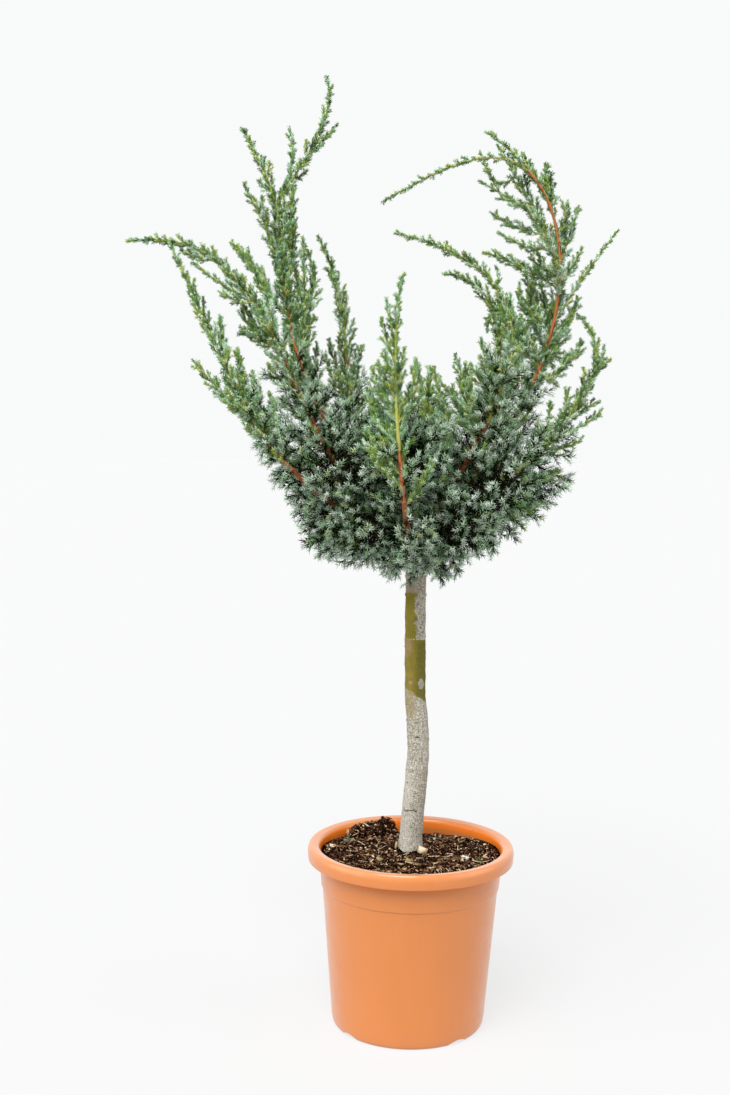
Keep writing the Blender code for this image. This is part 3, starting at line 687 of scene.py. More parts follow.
def loose_bits():
    """Every loose bit of the compost, as one mesh."""
    rng = compost_random
    places = np.vstack([on_mound(CRUMBS, 0.016, soil_radius - 0.003), clod_places(CLOD_CRUMBS)])
    sizes = rng.uniform(*CRUMB_SIZES, (len(places), 1)) * rng.uniform(0.55, 1.0, (len(places), 3))
    parts = [scatter(rng, GEM_CORNERS, GEM_FACES, places, sizes, random_turns(rng, len(places)), 0.35)]
    on_clod = np.arange(len(places)) >= CRUMBS
    crumb_shade = rng.choice(5, len(places), p=[0.40, 0.24, 0.17, 0.12, 0.07])
    crumb_shade[on_clod] = rng.choice(5, on_clod.sum(), p=[0.16, 0.34, 0.32, 0.13, 0.05])
    shades = [np.repeat(crumb_shade, len(GEM_FACES))]

    places = np.vstack([on_mound(FLAKES, 0.020, soil_radius - 0.006), clod_places(CLOD_FLAKES)])
    long = rng.gamma(4.0, 0.0008, len(places)).clip(0.0018, 0.0085)
    wide = long * rng.uniform(0.3, 0.7, len(places))
    sizes = np.stack([long, wide, rng.uniform(0.0006, 0.0016, len(places))], 1)
    lean = rng.normal(0, 0.45, (len(places), 2))
    spin = rng.uniform(0, math.tau, len(places))
    turns = np.array([
        np.array(Matrix.Rotation(s, 3, "Z") @ Matrix.Rotation(a, 3, "X") @ Matrix.Rotation(b, 3, "Y"))
        for s, (a, b) in zip(spin, lean)
    ])
    parts.append(scatter(rng, BOX_CORNERS, BOX_FACES, places + (0, 0, 0.0008), sizes, turns, 0.3))
    flake_shade = rng.choice(6, len(places), p=[0.12, 0.24, 0.24, 0.20, 0.14, 0.06])
    shades.append(np.repeat(flake_shade, len(BOX_FACES)))

    places = on_mound(STRAWS, 0.02, soil_radius - 0.008)
    thin = np.full(STRAWS, STRAW_WIDTH)
    sizes = np.stack([rng.uniform(*STRAW_LENGTHS, STRAWS), thin, thin], 1)
    spin = rng.uniform(0, math.tau, STRAWS)
    turns = leaning_turns(spin, rng.normal(0, 0.25, STRAWS))
    parts.append(scatter(rng, BOX_CORNERS, BOX_FACES, places + (0, 0, 0.0016), sizes, turns, 0.2))
    shades.append(np.repeat(rng.choice([2, 3, 4, 5], STRAWS, p=[0.4, 0.3, 0.2, 0.1]), len(BOX_FACES)))

    rows = np.array(PLACED)
    turns = leaning_turns(rows[:, 6], rows[:, 7])
    parts.append(scatter(rng, BOX_CORNERS, BOX_FACES, rows[:, :3], rows[:, 3:6], turns, 0.2))
    shades.append(np.repeat(rows[:, 8].astype(int), len(BOX_FACES)))

    for x, y, shade in SPRIGS:
        middle = np.array([(x, y, mound_height(x, y) + 0.0015)])
        places = middle + rng.normal(0, 0.0014, (SPRIG_BITS, 3))
        sizes = np.tile((0.0070, 0.0012, 0.0010), (SPRIG_BITS, 1))
        turns = random_turns(rng, SPRIG_BITS)
        parts.append(scatter(rng, BOX_CORNERS, BOX_FACES, places, sizes, turns, 0.2))
        shades.append(np.full(SPRIG_BITS * len(BOX_FACES), shade))

    points, faces, offset = [], [], 0
    for part_points, part_faces in parts:
        points.append(part_points)
        faces.append(part_faces + offset)
        offset += len(part_points)
    data = np.vstack(points), np.vstack(faces), np.concatenate(shades)
    return mesh_from_arrays("compost_bits", *data, bit_materials)


def clods():
    """Lumps of compost, as balls pressed out of round by noise."""
    shape = bmesh.new()
    for x, y, radius, height in CLODS:
        base = mound_height(x, y) - CLOD_SUNK
        found = bmesh.ops.create_icosphere(shape, subdivisions=5, radius=1)
        for vert in found["verts"]:
            bump = 1 + 0.20 * noise.fractal(vert.co * 2.4 + Vector((x, y, 0)) * 90, 0.8, 2.0, 4)
            vert.co = Vector((vert.co.x * radius, vert.co.y * radius, vert.co.z * height)) * bump
            vert.co += Vector((x, y, base))
    return shape


hand_over("compost_clods", mesh_of(clods(), "compost_clods", peat), (), True)
hand_over("compost_bits", loose_bits())


# %% [markdown]
# The trunk is a single stem with thin bark. Below it is silver grey with a dense grain. Above 43 cm the
# skin is olive, where the bark was cleaned, with a pale speckled patch on its right. It is grown here by
# extruding a ring of edges upward, station by station, and its relief comes from noise and a list of scars.

# %% Trunk shape
TRUNK_SIDES = 84
TRUNK_RINGS = 250
# Height, lean to the right and radius.
TRUNK_STATIONS = [
    (SOIL_TOP - 0.006, 0.0001, 0.0170), (0.2293, 0.0001, 0.0161), (0.242, 0.0004, 0.0147),
    (0.260, 0.0015, 0.0145), (0.303, 0.0045, 0.0143), (0.335, 0.0066, 0.0142), (0.358, 0.0080, 0.0137),
    (0.382, 0.0070, 0.0138), (0.413, 0.0041, 0.0134), (0.430, 0.0023, 0.0131), (0.541, 0.0006, 0.0130),
    (0.578, 0.0005, 0.0124), (0.585, 0.0006, 0.0130), (0.600, 0.0008, 0.0158), (0.662, 0.0008, 0.0158),
    (0.675, 0.0008, 0.0110), (0.681, 0.0008, 0.0040),
]
TRUNK_Y = 0.012
# Depth of the bark's plates, of its broad waves and of the fine rings round it.
BARK_PLATES = 0.00055
BARK_WAVES = 0.0006
BARK_RINGS = 0.00035
# Scars of old twigs and rings of the bark: height, turn from the front in degrees, size and relief.
SCARS = [
    (0.2820, -8, 0.0062, -0.0009), (0.2835, -30, 0.0040, 0.0008), (0.2838, 18, 0.0040, 0.0007),
    (0.2721, -10, 0.0028, 0.0008), (0.3060, 30, 0.0030, 0.0005), (0.3330, -84, 0.0026, 0.0010),
    (0.3524, 60, 0.0036, 0.0012), (0.3730, 84, 0.0028, 0.0010), (0.3980, -86, 0.0028, 0.0010),
    (0.4180, -70, 0.0034, 0.0008), (0.4480, -20, 0.0046, 0.0006), (0.4490, 40, 0.0050, 0.0007),
    (0.4930, -84, 0.0026, 0.0010), (0.5060, 84, 0.0026, 0.0008), (0.5286, 5, 0.0030, 0.0006),
    (0.5588, -86, 0.0028, 0.0014), (0.5588, 86, 0.0028, 0.0014), (0.5400, 150, 0.0050, 0.0012),
    (0.3000, 160, 0.0050, 0.0012), (0.4300, 200, 0.0050, -0.0008), (0.3700, 120, 0.0040, 0.0010),
    (0.4800, 170, 0.0040, 0.0010),
]


def smoothed(values, reach):
    """A list of numbers with its corners rounded by a running mean, its ends kept."""
    padded = np.concatenate([np.full(reach, values[0]), values, np.full(reach, values[-1])])
    return np.convolve(padded, np.ones(2 * reach + 1) / (2 * reach + 1), mode="valid")


def trunk_line():
    """Heights, sideways lean and radius of every ring of the trunk."""
    known = np.array(TRUNK_STATIONS)
    heights = np.linspace(known[0, 0], known[-1, 0], TRUNK_RINGS)
    lean = smoothed(np.interp(heights, known[:, 0], known[:, 1]), 6)
    radius = smoothed(np.interp(heights, known[:, 0], known[:, 2]), 2)
    return heights, lean, radius


def bark_relief(place, turn, height):
    """How far the bark stands out at a point of the trunk."""
    tall = Vector((place.x, place.y, place.z * 0.35))
    relief = BARK_PLATES * noise.fractal(tall * 150, 0.8, 2.0, 3)
    relief += BARK_WAVES * noise.noise(place * 42)
    relief += BARK_RINGS * noise.noise(Vector((place.x * 60, place.y * 60, place.z * 330)))
    for scar_height, scar_turn, size, out in SCARS:
        if abs(height - scar_height) > 3 * size:
            continue
        swing = (turn - math.radians(scar_turn) + math.pi) % math.tau - math.pi
        away = math.hypot(swing * 0.0155, (height - scar_height) * (1.9 if size > 0.005 else 1.1))
        relief += out * math.exp(-((away / size) ** 2) * 2.4)
    return relief


def next_ring(shape, ring_edges):
    """A copy of a ring of edges, joined to it by faces: its edges and its corners."""
    grown = bmesh.ops.extrude_edge_only(shape, edges=ring_edges)["geom"]
    corners = [item for item in grown if isinstance(item, bmesh.types.BMVert)]
    fresh = set(corners)
    edges = [item for item in grown if isinstance(item, bmesh.types.BMEdge) and fresh.issuperset(item.verts)]
    return edges, corners


def closed_tube(shape, ring_edges):
    """The tube with a face across its last ring and all faces looking out."""
    bmesh.ops.contextual_create(shape, geom=ring_edges)
    bmesh.ops.recalc_face_normals(shape, faces=shape.faces[:])
    return shape


def trunk_shape():
    heights, lean, radii = trunk_line()
    shape = bmesh.new()
    bmesh.ops.create_circle(shape, segments=TRUNK_SIDES, radius=1.0, cap_ends=True)
    bmesh.ops.reverse_faces(shape, faces=shape.faces[:])
    turns = [math.atan2(vert.co.x, -vert.co.y) for vert in shape.verts]
    ring_edges = shape.edges[:]
    ring = shape.verts[:]
    for index in range(TRUNK_RINGS):
        for vert, turn in zip(ring, turns):
            way = Vector((math.sin(turn), -math.cos(turn), 0))
            place = Vector((lean[index], TRUNK_Y, heights[index])) + way * radii[index]
            vert.co = place + way * bark_relief(place, turn, heights[index])
        if index < TRUNK_RINGS - 1:
            ring_edges, ring = next_ring(shape, ring_edges)
            turns = [math.atan2(vert.co.x - lean[index], TRUNK_Y - vert.co.y) for vert in ring]
    return closed_tube(shape, ring_edges)


# %% [markdown]
# The bark's colours have places, and all of them can be told from height and side: where the zone changes
# is a height that noise pushes up and down, so no edge is straight. Over all lies one fine grain of dark
# and pale bits. It is strong on the grey bark and faint on the olive skin. Small marks are spots, each with
# its place. Two zones are painted light and shade: the left side of the lower trunk is painted paler, with
# less dark grain, and the right side of the olive skin low down is painted darker.

# %% Bark finish
# Round marks, and then dark slits across the stem: colour, side, height, half width, flatness and strength.
SPOTS = [
    ((186, 156, 130), -0.0041, 0.4481, 0.0030, 1.0, 0.6),
    ((186, 182, 168), 0.0089, 0.4480, 0.0034, 0.55, 0.7),
    ((132, 78, 54), 0.0016, 0.5286, 0.0020, 1.0, 0.8),
]
SPOTS += [((70, 60, 48), side, height, half, 3.2, 0.9) for side, height, half in (
    (0.0049, 0.3971, 0.0018), (0.0059, 0.3787, 0.0030), (0.0012, 0.3620, 0.0016), (0.0008, 0.3354, 0.0016),
    (-0.0060, 0.3180, 0.0014), (0.0030, 0.3010, 0.0016), (0.0000, 0.2600, 0.0016),
)]


def trunk_bark():
    finish = Finish("trunk bark", (192, 187, 171), 0.85, 0.15)
    height = finish.axis("Z")
    side = finish.axis("X")
    ragged = finish.clouds(110, 2.6)
    patchy = finish.clouds(48, 2.2)
    behind = finish.between(finish.axis("Y"), TRUNK_Y - 0.004, TRUNK_Y + 0.006)
    edge = finish.maths("MULTIPLY_ADD", ragged, 0.006, height)
    edge = finish.maths("MULTIPLY_ADD", finish.times(patchy, behind), 0.022, edge)
    soft = finish.clouds(34, 3.0)
    pale_grain = finish.clouds(640, 6.5, finish.stretched(1, 1, 0.8), detail=2.0)
    dark_grain = finish.clouds(520, 6.5, detail=2.0)
    # Painted light: the lower trunk's left side, towards the window, is painted paler and given less dark
    # grain.
    smooth = finish.times(finish.between(side, 0.003, -0.004), finish.between(edge, 0.345, 0.325))
    finish.tint((170, 162, 144), soft, 0.4)
    finish.tint((206, 203, 192), smooth, 0.45)
    brown = finish.times(finish.between(side, 0.004, 0.010), finish.between(edge, 0.288, 0.298))
    finish.tint((150, 126, 98), brown, finish.between(edge, 0.345, 0.335), 0.4)
    tan = finish.times(finish.between(edge, 0.398, 0.412), finish.between(side, 0.007, -0.002))
    finish.tint((160, 142, 88), tan, 0.95)

    olive = finish.between(finish.maths("MULTIPLY_ADD", side, 0.69, edge), 0.4368, 0.4390)
    finish.tint((128, 116, 26), olive)
    # Painted shade: the olive's right side below 50 cm, away from the window, is painted darker.
    olive_painted_shade = finish.times(olive, finish.between(side, 0.001, 0.006), finish.between(edge, 0.508, 0.504))
    finish.tint((96, 90, 16), olive_painted_shade, 0.7)
    finish.tint((164, 150, 56), olive, soft, finish.between(height, 0.500, 0.508), 0.5)
    stained = finish.times(olive, ragged, finish.between(side, 0.003, -0.004))
    finish.tint((168, 146, 72), stained, finish.between(height, 0.505, 0.490), 0.55)
    blush = finish.times(finish.between(edge, 0.483, 0.495), finish.between(edge, 0.508, 0.505))
    finish.tint((170, 140, 104), blush, finish.between(side, 0.000, -0.007), 0.8)
    border = finish.maths("MULTIPLY_ADD", ragged, 0.0085, finish.maths("MULTIPLY_ADD", edge, 0.05, side))
    pale_side = finish.times(finish.between(border, 0.0305, 0.0335), finish.between(edge, 0.5069, 0.5080))
    finish.tint((196, 190, 174), pale_side, 0.9)
    flecks = finish.flecks(330, 0.42, 0.50, finish.stretched(1, 1, 0.6))
    finish.tint((92, 84, 60), flecks, pale_side, 0.85)
    small = finish.flecks(560, 0.40, 0.52)
    finish.tint((64, 58, 40), small, pale_side, 0.9)
    top = finish.between(edge, 0.5640, 0.5670)
    finish.tint((164, 146, 128), top)
    finish.tint((186, 160, 144), top, soft, 0.6)

    grainy = finish.less(finish.times(olive, finish.less(pale_side), 0.92))
    grainy = finish.times(grainy, finish.maths("MULTIPLY_ADD", tan, -0.45, 1.0))
    finish.tint((232, 228, 216), pale_grain, grainy, 0.75)
    # The dark grain is halved on the painted light of the lower left side.
    finish.tint((112, 100, 78), dark_grain, grainy, finish.less(finish.times(smooth, 0.5)), 0.62)
    pores = finish.flecks(300, 0.26, 0.45, finish.stretched(1, 1, 1.5))
    finish.tint((86, 76, 58), pores, grainy, 0.8)

    for colour, x, z, half, flat, share in SPOTS:
        finish.tint(colour, finish.spot(x, z, half, flat, ragged), share)
    knot = finish.times(finish.maths("COMPARE", edge, 0.2850, 0.0013), finish.between(side, -0.0100, -0.0085))
    finish.tint((76, 66, 52), knot, finish.between(side, 0.0075, 0.0055), 0.85)
    line = finish.maths("COMPARE", height, 0.5039, 0.0007)
    finish.tint((212, 206, 172), line, dark_grain)

    finish.bump(finish.clouds(420, 3.0, finish.stretched(1, 1, 0.5)), 0.0005, 0.8)
    finish.bump(pale_grain, 0.00025, 0.8)
    return finish.done()


trunk_data = mesh_of(trunk_shape(), "trunk_bark", trunk_bark())
hand_over("trunk_bark", trunk_data, ["trunk"], True)


# %% [markdown]
# The crown follows one rule, the same as in the solid model. A leader leaves the head of the trunk and
# follows a curve through two pulls to its tip. Its first part is a bare bough. Side shoots turn round the
# rest by the golden angle, 137.5 degrees, so that no two stand in line, and they get shorter towards the
# tip. The solids stop at one coarse spray for each side shoot. Here each side shoot bears finer cords, and
# each cord needles.

# %% Growth rule
HEAD_AXIS = Vector((0.0008, TRUNK_Y, 0.0))
GOLDEN_TURN = math.radians(137.5)
SHOOT_ANGLE = math.radians(36)
# Height at which each leader leaves the head, its two pulls and its tip in millimetres, and how many
# hundredths of it are a bare bough.
LEADERS = {
    "left_tall": (648, (-162, 36, 760), (-177, 38, 943), (-172, 30, 1040), 36),
    "left_arch": (628, (-185, -40, 720), (-138, -57, 1006), (-345, -50, 976), 34),
    "left_low": (604, (-219, -145, 746), (-185, -87, 763), (-294, -65, 975), 34),
    "back_left": (615, (-134, 136, 760), (-57, 91, 882), (-129, 100, 999), 36),
    "back_left_tall": (656, (-121, 190, 735), (-168, 194, 841), (-169, 190, 958), 36),
    "front": (606, (-9, -238, 568), (-50, -115, 863), (-24, -128, 939), 40),
    "right_tall": (648, (106, 26, 714), (203, 62, 889), (161, 35, 1014), 42),
    "right_low": (622, (115, -14, 698), (269, -40, 831), (183, -30, 902), 34),
    "right_inner": (632, (75, -126, 762), (200, -73, 943), (-36, -105, 984), 34),
    "right_mid": (655, (110, 144, 749), (152, 81, 944), (28, 75, 954), 36),
    "back": (606, (4, 161, 622), (19, 158, 806), (19, 180, 842), 44),
    "back_right": (625, (94, 169, 742), (153, 198, 829), (155, 190, 975), 36),
}
# Two short shoots that hang out of the low crown. They have no bare bough of their own.
SKIRTS = {
    "right_skirt": (600, (59, 1, 653), (129, -15, 660), (188, -10, 696)),
    "left_skirt": (597, (-38, -4, 648), (-132, 2, 660), (-137, 0, 605)),
}
# The pulls and tip of the arch, which goes on from the tip of the tall right leader.
RIGHT_ARCH = [(119, 11, 1134), (26, -2, 1070), (-50, -30, 1026)]


def metres(place):
    """A place that is given in millimetres."""
    return tuple(value / 1000 for value in place)


def bezier(controls, share):
    """Point at a share of the way along a Bezier curve, by halving between its controls."""
    points = [Vector(control) for control in controls]
    while len(points) > 1:
        points = [a.lerp(b, share) for a, b in zip(points, points[1:])]
    return points[0]


def curve_path(controls, first, last, count):
    """Points at even shares of a Bezier curve from first to last."""
    return [bezier(controls, first + (last - first) * i / (count - 1)) for i in range(count)]


def directions(path):
    """Unit direction of travel at each point of a path."""
    ends = [(path[max(i - 1, 0)], path[min(i + 1, len(path) - 1)]) for i in range(len(path))]
    return [(b - a).normalized() for a, b in ends]


def turned(direction, turn, angle):
    """The direction tilted by an angle, toward the side that the turn gives."""
    side = direction.cross(Vector((0, 0, 1)))
    if side.length < 0.05:
        side = direction.cross(Vector((0, 1, 0)))
    side.normalize()
    outward = side * math.cos(turn) + side.cross(direction) * math.sin(turn)
    return (direction * math.cos(angle) + outward * math.sin(angle)).normalized()


def leader_controls(height, *places):
    """The four controls of a leader in metres, from the head to its tip."""
    return [Vector((HEAD_AXIS.x, HEAD_AXIS.y, height / 1000)), *map(metres, places)]


bare_shares = {name: shape[4] / 100 for name, shape in LEADERS.items()}
curves = {name: leader_controls(*shape[:4]) for name, shape in {**LEADERS, **SKIRTS}.items()}
curves["right_arch"] = [Vector(curves["right_tall"][3]), *map(metres, RIGHT_ARCH)]
print(len(LEADERS), "leaders and", len(SKIRTS), "skirts")


# %% [markdown]
# A bough is a limb like the trunk, only thinner, so it is also a ring of edges extruded along a path. Its
# bark peels in orange brown strips: the relief is noise drawn out along the limb, which gives low
# lengthwise ridges.

# %% Boughs
BOUGH_ROOT = 0.0043
BOUGH_TIP = 0.0029
BOUGH_SIDES = 14
BOUGH_RINGS = 46
BOUGH_RIDGE = 0.16
# How much wider the first two rings are, where a bough leaves the head.
BOUGH_FLARE = (1.35, 1.2)
HEAD_SKIN = 0.0140


def limb_shape(path, radii, sides, ridge):
    """A closed tube along a path with lengthwise ridges."""
    shape = bmesh.new()
    bmesh.ops.create_circle(shape, segments=sides, radius=1.0, cap_ends=True)
    ring_edges = shape.edges[:]
    ring = shape.verts[:]
    ways = directions(path)
    side = ways[0].orthogonal().normalized()
    order = {vert: math.atan2(vert.co.y, vert.co.x) for vert in ring}
    travelled = 0.0
    for index, (point, way, radius) in enumerate(zip(path, ways, radii)):
        side = (side - way * side.dot(way)).normalized()
        other = way.cross(side)
        if index:
            travelled += (point - path[index - 1]).length
        for vert in ring:
            turn = order[vert]
            around = Vector((math.cos(turn) * 1.3, math.sin(turn) * 1.3, travelled * 26))
            out = radius * (1 + ridge * noise.fractal(around, 0.8, 2.0, 3))
            vert.co = point + (side * math.cos(turn) + other * math.sin(turn)) * out
        if index < len(path) - 1:
            ring_edges, fresh = next_ring(shape, ring_edges)
            nearest = {vert: min(ring, key=lambda old: (old.co - vert.co).length_squared) for vert in fresh}
            order = {vert: order[nearest[vert]] for vert in fresh}
            ring = fresh
    return closed_tube(shape, ring_edges)


def bough_bark():
    finish = Finish("bough bark", (150, 88, 54), 0.75, 0.25)
    finish.tint((186, 112, 66), finish.clouds(120, 4.0))
    finish.tint((104, 66, 48), finish.clouds(260, 6.0), 0.7)
    finish.tint((150, 132, 112), finish.flecks(420, 0.26, 0.44))
    finish.bump(finish.clouds(500, 3.0), 0.0004)
    return finish.done()


bough_finish = bough_bark()
for name, bare in bare_shares.items():
    shares = (step / 1000 for step in range(1000))
    first = next(share for share in shares if (bezier(curves[name], share) - HEAD_AXIS).xy.length > HEAD_SKIN)
    path = curve_path(curves[name], first, bare, BOUGH_RINGS)
    radii = [BOUGH_ROOT + (BOUGH_TIP - BOUGH_ROOT) * k / (BOUGH_RINGS - 1) for k in range(BOUGH_RINGS)]
    for ring, flare in enumerate(BOUGH_FLARE):
        radii[ring] *= flare
    limb = mesh_of(limb_shape(path, radii, BOUGH_SIDES, BOUGH_RIDGE), "limb", bough_finish)
    hand_over(f"bough_limb_{name}", limb, [f"bough_{name}"], True)


# %% [markdown]
# The plumes are not made of leaders and forks alone: some side shoots grow long, and those give the crown
# its outline. They are placed one by one, as on the real plant. Each is a curve from a share of its parent,
# through one pull to its tip, with the length of the side shoots that clothe it at its foot.

